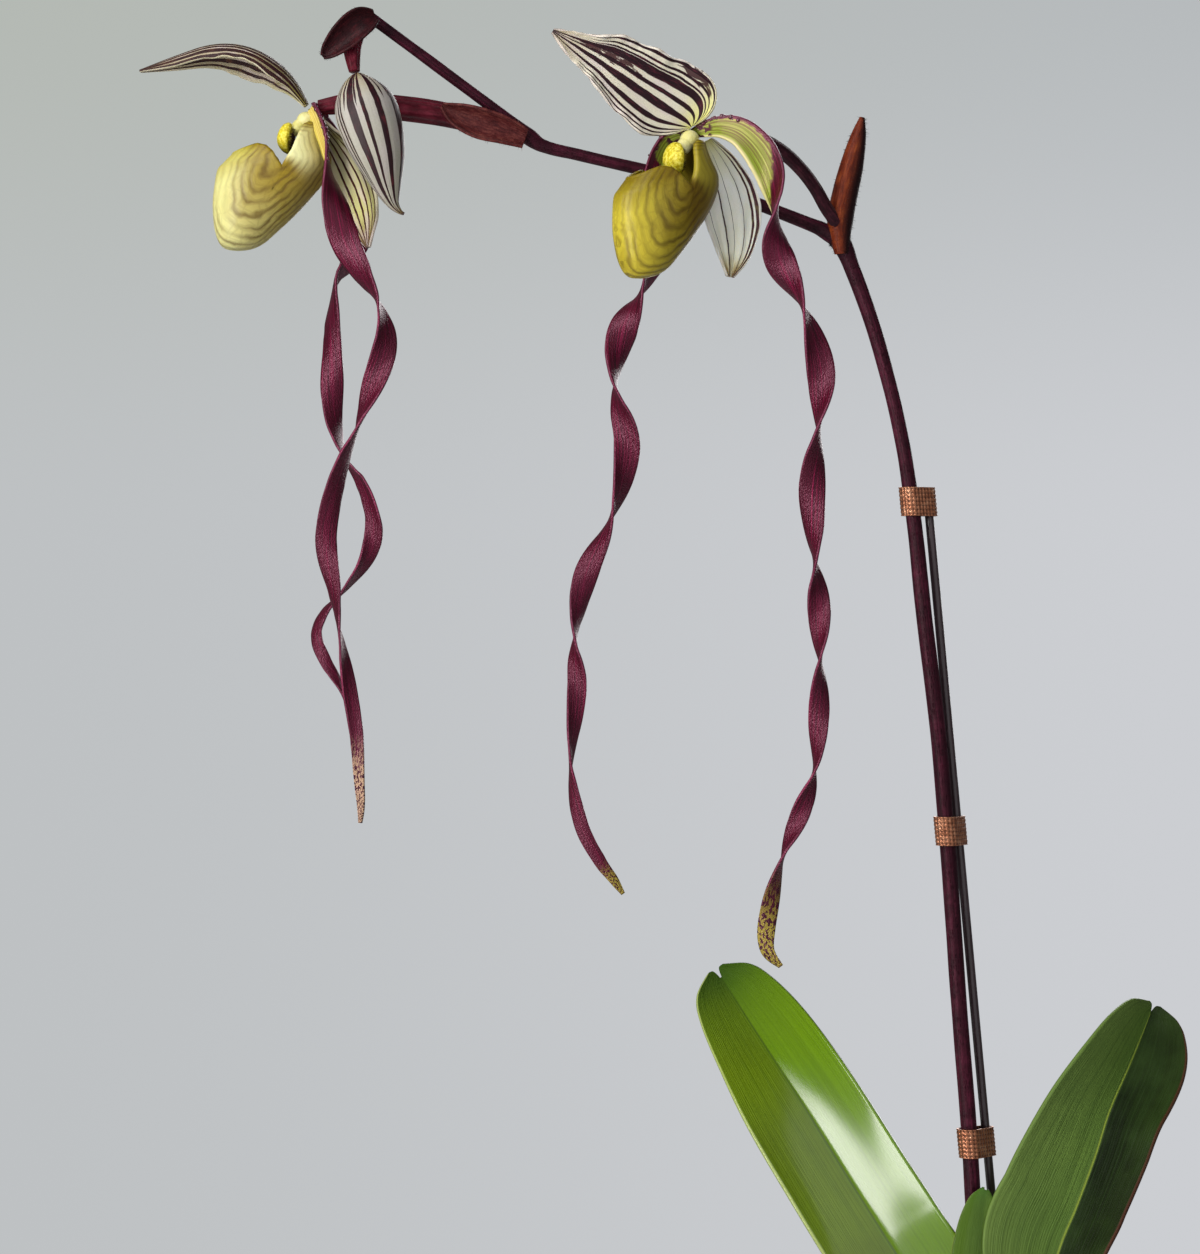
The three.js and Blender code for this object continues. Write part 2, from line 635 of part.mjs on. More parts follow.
// Pouch profile: height below the flower's foot, back, front and half width.
const pouchLevels = [
  [-34.4, 17.8, 18.6, 0.4],
  [-33.9, 14.6, 21.2, 3.0],
  [-32.4, 11.6, 22.6, 4.9],
  [-29.6, 8.4, 23.5, 6.4],
  [-26.2, 4.7, 23.9, 7.4],
  [-22.6, 1.2, 24.0, 8.0],
  [-18.6, -2.2, 23.6, 8.1],
  [-14.8, -4.4, 22.5, 7.8],
  [-11.6, -4.9, 20.6, 7.2],
  [-8.0, -3.6, 16.6, 6.0],
  [-5.0, -2.8, 14.0, 4.6],
  [-3.4, -2.6, 12.0, 3.8],
];
const pouchTop = pouchLevels[pouchLevels.length - 1][0];
const pouchBottom = pouchLevels[0][0];

// Height of the pouch's rim, which dips at both sides between its front lobe and its raised back.
function pouchRim(angle) {
  const frontRim = -8.4;
  const sideDip = 6.4 * Math.sin(angle) ** 10;
  const backRise = 5.0 * ((1 - Math.cos(angle)) / 2) ** 2;
  return frontRim - sideDip + backRise;
}

function pouchLevelAt(height) {
  let index = 1;
  while (index < pouchLevels.length - 1 && pouchLevels[index][0] < height) index += 1;
  const from = pouchLevels[index - 1];
  const to = pouchLevels[index];
  const share = THREE.MathUtils.clamp((height - from[0]) / (to[0] - from[0]), 0, 1);
  return from.map((value, k) => value + (to[k] - value) * share);
}

function pouch(flower, grow = 0) {
  const around = 18;
  const upward = 9;
  const sheet = new THREE.PlaneGeometry(1, 1, around, upward);
  const places = sheet.attributes.position;
  for (let j = 0; j <= upward; j += 1) {
    for (let i = 0; i <= around; i += 1) {
      const angle = 2 * Math.PI * (i % around) / around;
      const rim = Math.min(pouchRim(angle), pouchTop);
      const share = 1 - (1 - j / upward) ** 1.3;
      const height = pouchBottom + (rim - pouchBottom) * (j === 0 ? 0 : share);
      const [, back, front, half] = pouchLevelAt(height);
      const reach = j === 0 ? 0 : 1;
      places.setXYZ(
        j * (around + 1) + i,
        (front + back) / 2 + reach * (front - back) / 2 * Math.cos(angle),
        reach * half * Math.sin(angle),
        height,
      );
    }
  }
  return solidOf(placeInFlower(thicken(sheet, pouchThickness + 2 * grow), flower));
}

// Column: the rounded foot, the neck and the staminode shield in front of it.
function column(flower, grow = 0) {
  const foot = new THREE.SphereGeometry(2.3 + grow, 10, 7);
  const neck = new THREE.SphereGeometry(1, 8, 6);
  neck.scale(3.4 + grow, 1.9 + grow, 2.0 + grow).rotateY(radians(42)).translate(2.4, 0, -3.2);
  const shield = new THREE.SphereGeometry(1, 12, 8);
  shield.scale(2.5 + grow, 3.9 + grow, 4.3 + grow).rotateY(radians(-12)).translate(5.6, 0, -7.2);
  return [neck, shield].reduce(
    (whole, piece) => whole.add(solidOf(placeInFlower(piece, flower))),
    solidOf(placeInFlower(foot, flower)),
  );
}

const petalBlade = (rows) => ({
  thickness: petalThickness,
  columns: 2,
  steps: 3,
  roll: 18,
  rows: rows.map(([x, y, z, width, turn]) => [x, y, z, width / 2, width / 2, turn]),
});

// Bud: closed sepals with two overlapping seams; x, y, z, diameter.
const bud = {
  sides: 14, steps: 2, ribs: 2, ribDepth: 0.03,
  rows: [
    [-158.9, -12.2, 427, 2.6],
    [-158.4, -12.6, 424.4, 9],
    [-157.4, -13, 420.6, 14],
    [-155.8, -13.5, 415.4, 15.4],
    [-153.3, -14, 407.2, 12.8],
    [-151.2, -14, 398.8, 6.4],
    [-149.4, -14, 394.6, 3],
    [-147.9, -14, 392.2, 0.8],
  ],
};

for (const [name, flower] of Object.entries(flowers)) {
  const sides = name === 'left' ? ['near', 'far'] : ['right', 'left'];
  const columnGrown = column(flower, seatGap);
  const ovaryGrown = stem(ovaries[name], seatGap);
  const dorsal = sepals[`dorsal_sepal_${name}`];
  const lower = sepals[`synsepal_${name}`];
  const pair = sides.map((side) => petalBlade(petals[`petal_${name}_${side}`]));
  const dorsalGrown = blade(dorsal, seatGap);
  const lowerGrown = blade(lower, seatGap);
  const pouchGrown = pouch(flower, seatGap);
  const carriers = [columnGrown, ovaryGrown];
  addNode(`ovary_${name}`, stemMaroon, stem(ovaries[name]), [stemGrown, columnGrown]);
  addNode(`column_${name}`, columnYellow, column(flower));
  addNode(`dorsal_sepal_${name}`, sepalCream, blade(dorsal), carriers);
  addNode(`synsepal_${name}`, sepalCream, blade(lower), [...carriers, dorsalGrown, pouchGrown]);
  addNode(`pouch_${name}`, pouchOchre, pouch(flower), carriers);
  sides.forEach((side, index) => {
    const others = index === 1 ? [blade(pair[0], seatGap)] : [];
    const neighbours = [...carriers, dorsalGrown, lowerGrown, pouchGrown, stemGrown, ...others];
    addNode(`petal_${name}_${side}`, petalMaroon, blade(pair[index]), neighbours);
  });
}

addNode('ovary_bud', stemMaroon, stem(ovaries.bud), [stemGrown]);
addNode('bud', sepalCream, stem(bud), [stem(ovaries.bud, seatGap), stem(ovaries.left, seatGap)]);
addNode('bract_middle', bractBrown, blade(bracts.bract_middle), [stemGrown, stem(ovaries.middle, seatGap)]);
addNode('bract_left', bractBrown, blade(bracts.bract_left), [stemGrown, stem(ovaries.left, seatGap)]);
addNode('bract_bud', bractBrown, blade(bracts.bract_bud), [stemGrown, stem(ovaries.bud, seatGap)]);

export default group;
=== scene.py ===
# Slipper orchid in its pot: fine petals, sepals, pouches, leaves, hairs, veins and light.
import math
import random
import bmesh
import bpy
from mathutils import Matrix, Vector, noise


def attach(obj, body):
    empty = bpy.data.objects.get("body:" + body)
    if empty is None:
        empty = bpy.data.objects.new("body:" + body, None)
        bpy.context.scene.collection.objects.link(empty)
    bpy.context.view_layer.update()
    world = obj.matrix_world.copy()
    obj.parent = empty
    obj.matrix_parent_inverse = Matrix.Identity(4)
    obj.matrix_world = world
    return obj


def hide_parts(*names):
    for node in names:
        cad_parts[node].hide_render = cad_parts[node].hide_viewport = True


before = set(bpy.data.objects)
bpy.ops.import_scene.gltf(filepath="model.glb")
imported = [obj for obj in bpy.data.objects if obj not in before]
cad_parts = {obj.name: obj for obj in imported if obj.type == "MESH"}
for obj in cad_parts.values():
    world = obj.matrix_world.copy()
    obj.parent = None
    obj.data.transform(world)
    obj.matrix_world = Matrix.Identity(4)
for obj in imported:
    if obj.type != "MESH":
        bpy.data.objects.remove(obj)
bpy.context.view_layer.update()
print("frame loaded")

mm = 0.001
body = "root"
random.seed(12)


# A row on the smooth curve through the given ones; place counts them from 0.
def rowAt(rows, place):
    last = len(rows) - 1
    i = min(int(place), last - 1)
    f = place - i
    before, start, end, after = rows[max(i - 1, 0)], rows[i], rows[i + 1], rows[min(i + 2, last)]
    bend = (2 * f - 3) * f * f
    found = []
    for a, b, c, d in zip(before, start, end, after):
        slopeIn, slopeOut = (c - a) / 2, (d - b) / 2
        found.append(b * (1 + bend) - c * bend + slopeIn * f * (1 - f) ** 2 - slopeOut * f * f * (1 - f))
    return found


# The same row with its middle point and the directions along, across and away from the viewer.
def frameAt(rows, place):
    step = 0.02
    last = len(rows) - 1
    here = rowAt(rows, place)
    behind = Vector(rowAt(rows, max(place - step, 0))[:3])
    ahead = Vector(rowAt(rows, min(place + step, last))[:3])
    along = (ahead - behind).normalized()
    across = Vector((-along.z, 0, along.x)).normalized()
    away = across.cross(along)
    return here, Vector(here[:3]), along, across, away


def framesOf(rows, steps):
    last = len(rows) - 1
    return [frameAt(rows, last * k / steps) for k in range(steps + 1)]


# Every new piece gets its mesh, material, body, node and slot here.
def finishPiece(bm, name, material, node, smooth=True):
    mesh = bpy.data.meshes.new(name)
    bm.to_mesh(mesh)
    bm.free()
    for polygon in mesh.polygons:
        polygon.use_smooth = smooth
    piece = bpy.data.objects.new(name, mesh)
    bpy.context.scene.collection.objects.link(piece)
    mesh.materials.append(material)
    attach(piece, body)
    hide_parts(node)
    return piece


def weld(bm):
    bmesh.ops.remove_doubles(bm, verts=bm.verts, dist=1e-6)


# A grid of the given size whose vertices go where place(u, v) says; u and v run from 0 to 1.
def shapedGrid(columns, steps, place, seam=False):
    bm = bmesh.new()
    uvLayer = bm.loops.layers.uv.new("surface")
    bmesh.ops.create_grid(bm, x_segments=columns, y_segments=steps, size=0.5)
    for face in bm.faces:
        for loop in face.loops:
            loop[uvLayer].uv = (loop.vert.co.x + 0.5, loop.vert.co.y + 0.5)
    for vert in bm.verts:
        vert.co = place(vert.co.x + 0.5, vert.co.y + 0.5) * mm
    if seam:
        weld(bm)
        openEdges = [edge for edge in bm.edges if edge.is_boundary]
        if openEdges:
            bmesh.ops.holes_fill(bm, edges=openEdges, sides=0)
    return bm


def thickness(piece, amount):
    wall = piece.modifiers.new("wall", "SOLIDIFY")
    wall.thickness = amount * mm
    wall.offset = 0
    wall.use_rim = True
    wall.use_quality_normals = True


# A blade's row is x, y, z, half width on each side and turn in degrees. Where a row has one half width,
# it holds for both sides, and where it has no turn, the blade's own turn holds.
def fullRow(row, turn):
    halves = row[3:5] if len(row) > 4 else [row[3], row[3]]
    return [*row[:3], *halves, row[5] if len(row) > 5 else turn]


plainBlade = {
    "turn": 0, "fold": 0, "ruffle": 0, "waves": 0, "crimp": 0, "crimps": 0, "scallop": 0,
    "seed": 0, "notch": 0, "auricle": 0, "ridges": [],
}


# Leaf, sepal, petal or bract: s runs from -1 to 1 across the blade and v from its base to its tip.
def bladeGrid(ownShape):
    shape = {**plainBlade, **ownShape}
    steps, seed, crimps = shape["steps"], shape["seed"], shape["crimps"]
    frames = framesOf([fullRow(row, shape["turn"]) for row in shape["rows"]], steps)
    arc = math.radians(shape["roll"])
    fold = math.radians(shape["fold"])
    auricleEnd, notchStart, notchLength = 0.2, 0.9, 0.1

    def place(u, v):
        row, centre, along, across, away = frames[round(v * steps)]
        s = 2 * u - 1
        half = row[3] if s < 0 else row[4]
        turn = math.radians(row[5])
        wide = across * math.cos(turn) + away * math.sin(turn)
        front = along.cross(wide)
        fade = math.sin(math.pi * v)
        edge = noise.noise(Vector((v * crimps * 2, s * 1.5, seed)))
        bay = noise.noise(Vector((v * crimps, seed + (3 if s > 0 else 0), 1)))
        half *= 1 + shape["scallop"] * abs(s) ** 3 * bay
        lift = half * (1 - math.cos(s * arc)) / arc
        lift += half * math.sqrt(s * s + 0.0025) * math.sin(fold)
        lift += shape["ruffle"] * s ** 4 * fade * math.sin(shape["waves"] * math.pi * 2 * v + s)
        lift += shape["crimp"] * abs(s) ** 5 * fade * edge
        for ridgeAt, height, spread in shape["ridges"]:
            lift += height * math.exp(-((s - ridgeAt) / spread) ** 2) * fade
        reach = half * math.cos(fold) * math.sin(s * arc) / arc
        point = centre + wide * reach + front * lift
        if v < auricleEnd:
            point -= along * shape["auricle"] * s * s * (1 - v / auricleEnd) ** 2 * min(half / 8, 1)
        if v > notchStart:
            point -= along * shape["notch"] * math.exp(-(s / 0.3) ** 2) * (v - notchStart) / notchLength
        return point

    return shapedGrid(shape["columns"], steps, place)


plainStem = {"ribs": 0, "ribDepth": 0, "lump": 0, "seed": 0, "ridges": []}


# Round stem through rows of x, y, z, diameter.
def stemGrid(ownShape):
    shape = {**plainStem, **ownShape}
    rows, sides, steps = shape["rows"], shape["sides"], shape["steps"]
    frames = framesOf(rows, steps)

    def place(u, v):
        row, centre, along, across, away = frames[round(v * steps)]
        angle = 2 * math.pi * (u % 1)
        rim = Vector((math.cos(angle), math.sin(angle), v * steps * 0.12))
        radius = row[3] / 2 * (1 + shape["ribDepth"] * math.cos(shape["ribs"] * angle))
        radius += shape["lump"] * noise.noise(rim + Vector((shape["seed"], 0, 0)))
        for ridgeAt, height, spread in shape["ridges"]:
            radius += height * math.exp(-((u % 1 - ridgeAt) / spread) ** 2) * math.sin(math.pi * v)
        return centre + across * math.cos(angle) * radius + away * math.sin(angle) * radius

    return shapedGrid(sides, steps, place, seam=True)


# Hairs are faces pulled out of the mesh to a point; choose(face) says where they may stand.
def growHairs(bm, count, look, choose=None):
    bm.faces.ensure_lookup_table()
    bm.normal_update()
    candidates = [face for face in bm.faces if len(face.verts) == 4 and (choose is None or choose(face))]
    random.shuffle(candidates)
    roots = candidates[:count]
    bmesh.ops.inset_individual(bm, faces=roots, thickness=look["width"] * mm, depth=0)
    made = bmesh.ops.extrude_discrete_faces(bm, faces=roots)
    for face in made["faces"]:
        normal = face.normal.copy()
        middle = face.calc_center_median()
        reach = look["length"] * mm * random.uniform(0.5, 1.2)
        lean = Vector((random.uniform(-1, 1), random.uniform(-1, 1), random.uniform(-1, 0.4)))
        tip = middle + (normal + lean * look["droop"]).normalized() * reach
        for vert in face.verts:
            vert.co = tip + (vert.co - middle) * 0.15


def standing(normal):
    return normal.to_track_quat("Z", "Y").to_matrix().to_4x4()


# Tapered hairs on both sides of a finished piece, as a piece of their own.
def hairPiece(piece, node, count, look, material):
    bm = bmesh.new()
    spots = list(piece.data.polygons)
    for polygon in random.sample(spots, min(count, len(spots))):
        side = random.choice((-1, 1))
        lean = Vector((random.uniform(-1, 1), random.uniform(-1, 1), random.uniform(-1, 0.3)))
        direction = (polygon.normal * side + lean * look["droop"]).normalized()
        length = look["length"] * mm * random.uniform(0.5, 1.2)
        foot = polygon.center + polygon.normal * side * look["lift"] * mm
        bmesh.ops.create_cone(
            bm, segments=4, radius1=look["width"] * mm, radius2=look["width"] * mm * 0.15, depth=length,
            matrix=Matrix.Translation(foot + direction * length / 2) @ standing(direction))
    return finishPiece(bm, node + "_hairs", material, node)


# A colour is red, green, blue from 0 to 255, as a screen shows it; shaders take it in linear light.
def tint(colour):
    def linear(value):
        share = value / 255
        return share / 12.92 if share <= 0.04045 else ((share + 0.055) / 1.055) ** 2.4
    return (*map(linear, colour), 1)


def asColour(value):
    return tint(value) if isinstance(value, tuple) and len(value) == 3 else value


def newMaterial(name, roughness, specular):
    material = bpy.data.materials.new(name)
    material.use_nodes = True
    shader = material.node_tree.nodes["Principled BSDF"]
    shader.inputs["Roughness"].default_value = roughness
    shader.inputs["Specular IOR Level"].default_value = specular
    return material, material.node_tree, shader


def put(tree, socket, value):
    if isinstance(value, bpy.types.NodeSocket):
        tree.links.new(value, socket)
    else:
        socket.default_value = value


def addNode(tree, kind, inputs, settings=None, output=0):
    node = tree.nodes.new("ShaderNode" + kind)
    for key, value in (settings or {}).items():
        setattr(node, key, value)
    for key, value in inputs.items():
        put(tree, node.inputs[key], value)
    return node.outputs[output]


def calc(tree, operation, first, second=0.0, third=0.0):
    return addNode(tree, "Math", {0: first, 1: second, 2: third}, {"operation": operation})


def times(tree, first, second):
    return calc(tree, "MULTIPLY", first, second)


def plus(tree, first, second):
    return calc(tree, "ADD", first, second)


def minus(tree, first, second):
    return calc(tree, "SUBTRACT", first, second)


def mixed(tree, factor, first, second):
    inputs = {0: factor, 6: asColour(first), 7: asColour(second)}
    return addNode(tree, "Mix", inputs, {"data_type": "RGBA"}, output=2)


def ease(tree, value, low, high, toLow=0.0, toHigh=1.0):
    inputs = {0: value, 1: low, 2: high, 3: toLow, 4: toHigh}
    return addNode(tree, "MapRange", inputs, {"interpolation_type": "SMOOTHSTEP"})


# The tone laid over the ground: its share goes from before to after as value goes from low to high.
def laid(tree, ground, tone, value, low, high, before=0.0, after=1.0):
    return mixed(tree, ease(tree, value, low, high, before, after), ground, tone)


def ramp(tree, factor, stops):
    node = tree.nodes.new("ShaderNodeValToRGB")
    elements = node.color_ramp.elements
    elements[0].position, elements[1].position = stops[0][0], stops[-1][0]
    for position, _ in stops[1:-1]:
        elements.new(position)
    for element, (_, value) in zip(elements, stops):
        element.color = asColour(value) if isinstance(value, tuple) else (value, value, value, 1)
    put(tree, node.inputs[0], factor)
    return node.outputs[0]


def noiseAt(tree, vector, scale, detail=3.0, rough=0.5, distortion=0.0):
    inputs = {"Vector": vector, "Scale": scale, "Detail": detail, "Roughness": rough}
    return addNode(tree, "TexNoise", {**inputs, "Distortion": distortion})


def pebblesAt(tree, vector, scale, settings=None):
    return addNode(tree, "TexVoronoi", {"Vector": vector, "Scale": scale}, settings)


def objectPlace(tree):
    return addNode(tree, "TexCoord", {}, output=3)


# Across and along place on a piece's own surface, each from 0 to 1.
def surfacePlace(tree):
    place = addNode(tree, "UVMap", {}, {"uv_map": "surface"})
    split = tree.nodes.new("ShaderNodeSeparateXYZ")
    tree.links.new(place, split.inputs[0])
    return place, split.outputs[0], split.outputs[1]


def stretched(tree, vector, x, y, z=1.0):
    return addNode(tree, "Mapping", {"Vector": vector, "Scale": (x, y, z)})


# Noise that has x waves across and y waves along a piece's surface.
def grainAt(tree, place, x, y, detail=3.0, rough=0.5, distortion=0.0):
    return noiseAt(tree, stretched(tree, place, x, y), 1.0, detail, rough, distortion)


def paint(tree, shader, colour):
    tree.links.new(colour, shader.inputs["Base Color"])


def setBump(tree, shader, height, strength, distance):
    inputs = {"Strength": strength, "Distance": distance, "Height": height}
    normal = addNode(tree, "Bump", inputs)
    tree.links.new(normal, shader.inputs["Normal"])


def setGlow(shader, weight, radius, scale=0.5):
    shader.inputs["Subsurface Weight"].default_value = weight
    shader.inputs["Subsurface Radius"].default_value = radius
    shader.inputs["Subsurface Scale"].default_value = scale


# Stripes as heights across the surface: a peak at each stripe, nought on both sides of it.
def stripeHeights(tree, across, stripes, level):
    stops = [(0.0, 0.0)]
    for i, (centre, half) in enumerate(stripes):
        low, high = centre - 2 * half, centre + 2 * half
        if i:
            before = stripes[i - 1]
            low = max(low, (before[0] + before[1] + centre - half) / 2)
        if i < len(stripes) - 1:
            after = stripes[i + 1]
            high = min(high, (after[0] - after[1] + centre + half) / 2)
        room = min(centre - low, high - centre)
        if low > stops[-1][0] + 1e-4:
            stops.append((low, 0.0))
        stops.append((centre, min(level / (1 - min(half / max(room, 1e-4), 0.85)), 1.0)))
        if high < 0.999:
            stops.append((high, 0.0))
    if stops[-1][0] < 1.0:
        stops.append((1.0, 0.0))
    return ramp(tree, across, stops)


def stripeShare(tree, across, along, stripes, levels):
    heights = stripeHeights(tree, across, stripes, 0.3)
    level = ramp(tree, along, levels)
    return ease(tree, heights, minus(tree, level, 0.035), plus(tree, level, 0.035))


plainStriped = {
    "roughness": 0.42, "specular": 0.25, "wobble": 0.035, "glow": 0.12, "glowScale": 0.5, "blotches": [],
    "blush": (214, 196, 200), "margin": (232, 220, 214), "shade": (168, 160, 128), "stripe": (34, 6, 16),
    "stripeWarm": (84, 24, 40),
}


def stripedMaterial(name, ownLook):
    look = {**plainStriped, **ownLook}
    material, tree, shader = newMaterial(name, look["roughness"], look["specular"])
    place, across, along = surfacePlace(tree)
    wobble = grainAt(tree, place, 7, 9, 2.0)
    shifted = calc(tree, "MULTIPLY_ADD", minus(tree, wobble, 0.5), look["wobble"], across)
    stripe = 0.0
    for stripes, levels in look["stripes"]:
        stripe = calc(tree, "MAXIMUM", stripe, stripeShare(tree, shifted, along, stripes, levels))
    speckle = grainAt(tree, place, 60, 160, 3.0, 0.6)
    blush = grainAt(tree, place, 6, 5, 2.0)
    ground = laid(tree, ramp(tree, along, look["ground"]), look["blush"], blush, 0.45, 0.65, 0.0, 0.5)
    margin = ease(tree, calc(tree, "ABSOLUTE", minus(tree, across, 0.5)), 0.42, 0.5)
    ground = mixed(tree, times(tree, margin, 0.5), ground, look["margin"])
    ground = laid(tree, ground, look["shade"], speckle, 0.35, 0.75, 0.0, 0.3)
    for centre, size, tone, share in look["blotches"]:
        u = calc(tree, "DIVIDE", minus(tree, across, centre[0]), size[0])
        v = calc(tree, "DIVIDE", minus(tree, along, centre[1]), size[1])
        far = plus(tree, times(tree, u, u), times(tree, v, v))
        patchy = grainAt(tree, place, 22, 13, 3.0, 0.6, 0.6)
        blot = minus(tree, patchy, times(tree, far, 0.16))
        ground = laid(tree, ground, tone, blot, 0.36, 0.44, 0.0, share)
    broken = grainAt(tree, place, 40, 14, 3.0, 0.6)
    dark = laid(tree, look["stripe"], look["stripeWarm"], broken, 0.5, 0.75)
    paint(tree, shader, mixed(tree, stripe, ground, dark))
    veins = grainAt(tree, place, 70, 5, 2.0)
    relief = plus(tree, times(tree, veins, 0.7), times(tree, speckle, 0.4))
    setBump(tree, shader, minus(tree, relief, times(tree, stripe, 0.3)), 0.4, 0.0004)
    setGlow(shader, look["glow"], (0.002, 0.0016, 0.0012), look["glowScale"])
    return material


sepalLook = {
    "middleStripes": [(0.255, 0.044), (0.385, 0.026), (0.525, 0.048), (0.735, 0.036)],
    "middleEdges": [
        (0.035, 0.018), (0.12, 0.015), (0.18, 0.013), (0.86, 0.018), (0.928, 0.012), (0.985, 0.008),
    ],
    "leftStripes": [
        (0.02, 0.07), (0.14, 0.05), (0.24, 0.03), (0.34, 0.05), (0.47, 0.07), (0.62, 0.03), (0.74, 0.018),
        (0.84, 0.026), (0.93, 0.016),
    ],
    "lowerStripes": [
        (0.08, 0.02), (0.22, 0.022), (0.36, 0.02), (0.5, 0.022), (0.64, 0.022), (0.78, 0.02), (0.92, 0.025),
    ],
    "paleStripes": [
        (0.13, 0.006), (0.36, 0.012), (0.54, 0.005), (0.7, 0.006), (0.87, 0.018), (0.95, 0.026),
    ],
    "wall": 0.7,
}

dorsalMiddle = stripedMaterial("dorsalMiddleTissue", {
    "stripes": [
        (sepalLook["middleStripes"],
         [(0.0, 0.42), (0.06, 0.38), (0.2, 0.33), (0.45, 0.27), (0.7, 0.3), (0.9, 0.36), (1.0, 0.05)]),
        (sepalLook["middleEdges"],
         [(0.0, 0.45), (0.06, 0.4), (0.2, 0.3), (0.6, 0.3), (0.74, 0.45), (0.84, 0.9), (1.0, 0.9)]),
    ],
    "ground": [
        (0.0, (196, 200, 74)), (0.06, (216, 214, 120)), (0.2, (226, 220, 200)), (0.7, (214, 208, 190)),
        (0.93, (190, 176, 146)), (1.0, (60, 30, 30)),
    ],
    "blotches": [
        ((0.32, 0.66), (0.1, 0.22), (60, 10, 22), 0.95),
        ((0.07, 0.2), (0.07, 0.1), (56, 10, 22), 0.95),
    ],
})
dorsalLeft = stripedMaterial("dorsalLeftTissue", {
    "stripes": [
        (sepalLook["leftStripes"], [(0.0, 0.36), (0.2, 0.28), (0.6, 0.28), (0.9, 0.26), (1.0, 0.05)]),
    ],
    "ground": [
        (0.0, (170, 158, 70)), (0.12, (118, 110, 50)), (0.3, (130, 118, 84)), (0.5, (166, 154, 130)),
        (0.85, (166, 152, 124)), (0.97, (90, 64, 44)), (1.0, (60, 34, 28)),
    ],
    "stripe": (44, 16, 20), "stripeWarm": (96, 60, 40), "margin": (232, 226, 190),
})
lowerLeft = stripedMaterial("lowerLeftTissue", {
    "stripes": [(sepalLook["lowerStripes"], [(0.0, 0.4), (0.2, 0.32), (0.7, 0.3), (0.9, 0.24), (1.0, 0.1)])],
    "ground": [
        (0.0, (120, 116, 44)), (0.15, (160, 156, 84)), (0.45, (206, 200, 160)), (0.75, (196, 192, 120)),
        (0.92, (120, 96, 50)), (1.0, (70, 52, 34)),
    ],
    "stripe": (56, 16, 20), "stripeWarm": (110, 56, 40),
})
lowerMiddle = stripedMaterial("lowerMiddleTissue", {
    "stripes": [
        (sepalLook["paleStripes"], [(0.0, 0.6), (0.15, 0.36), (0.6, 0.3), (0.85, 0.24), (1.0, 0.1)]),
    ],
    "glow": 0.5, "glowScale": 1.5,
    "ground": [
        (0.0, (206, 202, 120)), (0.12, (236, 236, 204)), (0.35, (252, 252, 246)), (0.8, (246, 244, 224)),
        (0.92, (156, 136, 80)), (1.0, (80, 58, 36)),
    ],
    "shade": (226, 228, 196), "blush": (234, 238, 216), "stripe": (60, 26, 40), "stripeWarm": (120, 116, 70),
})

sepals = {
    "dorsal_sepal_middle": {
        "material": dorsalMiddle, "columns": 48, "steps": 96, "roll": 22, "ruffle": 0.7, "waves": 3.5,
        "crimp": 1.3, "crimps": 9, "scallop": 0.1, "seed": 3, "auricle": 2.6,
        "rows": [
            [-76.8, -25.4, 412.2, 0.8], [-78.4, -26, 413.9, 11.2, 4.0], [-83.5, -28, 417.2, 11.8, 8.8],
            [-88.6, -30, 420.4, 10.4, 9.0], [-93.9, -32, 423.6, 9.8, 7.2], [-98.3, -33, 426.6, 7.8, 5.4],
            [-102.6, -34, 429.3, 4.6, 4.2], [-106.6, -35, 431.6, 2.6], [-110.3, -36, 433.8, 0.6],
        ],
    },
    "dorsal_sepal_left": {
        "material": dorsalLeft, "columns": 40, "steps": 90, "turn": 90, "roll": 70,
        "ruffle": 0.35, "waves": 2, "crimp": 0.5, "crimps": 6, "scallop": 0.1, "seed": 8,
        "rows": [
            [-172.3, 3, 421.9, 2.2], [-175.4, 3, 427.6, 5.2, 7.2], [-179.4, 3, 431.8, 7.4, 10.4],
            [-185.0, 3, 435.1, 7.6, 11.3], [-191.0, 3, 436.6, 6.8, 10.8], [-197.5, 3, 436.2, 6.4, 8.6],
            [-205.2, 3, 433.7, 5.4], [-214.4, 3, 430.2, 0.7],
        ],
    },
    "synsepal_left": {
        "material": lowerLeft, "columns": 32, "steps": 70, "roll": 30, "ruffle": 0.4, "waves": 2,
        "crimp": 0.6, "crimps": 8, "seed": 5,
        "rows": [
            [-170.0, 5.4, 418.6, 2.0, 2.0, -50], [-167.0, 6.4, 413.8, 6.0, 6.0, -50],
            [-163.6, 7.0, 408, 8.8, 8.8, -46], [-160.2, 7.0, 400.8, 9.2, 9.2, -44],
            [-158.0, 6.4, 393.2, 6.6, 6.6, -44], [-157.2, 5.6, 386.2, 0.8, 0.8, -50],
        ],
    },
    "synsepal_middle": {
        "material": lowerMiddle, "columns": 32, "steps": 70, "turn": 20, "roll": 35,
        "ruffle": 0.4, "waves": 2, "crimp": 0.4, "crimps": 6, "seed": 6,
        "ridges": [(-0.3, 0.9, 0.12), (0.35, 0.9, 0.12)],
        "rows": [
            [-73.4, -21.6, 409.2, 2.0], [-70.9, -19.2, 403.6, 5.6], [-68.6, -18, 397, 7.8],
            [-67.0, -18, 389.4, 7.6], [-66.6, -18.4, 382.4, 5.0], [-67.2, -19, 376.4, 1.0],
        ],
    },
}
for name, shape in sepals.items():
    sepal = finishPiece(bladeGrid(shape), name + "_fine", shape["material"], name)
    thickness(sepal, sepalLook["wall"])
print("sepals made")


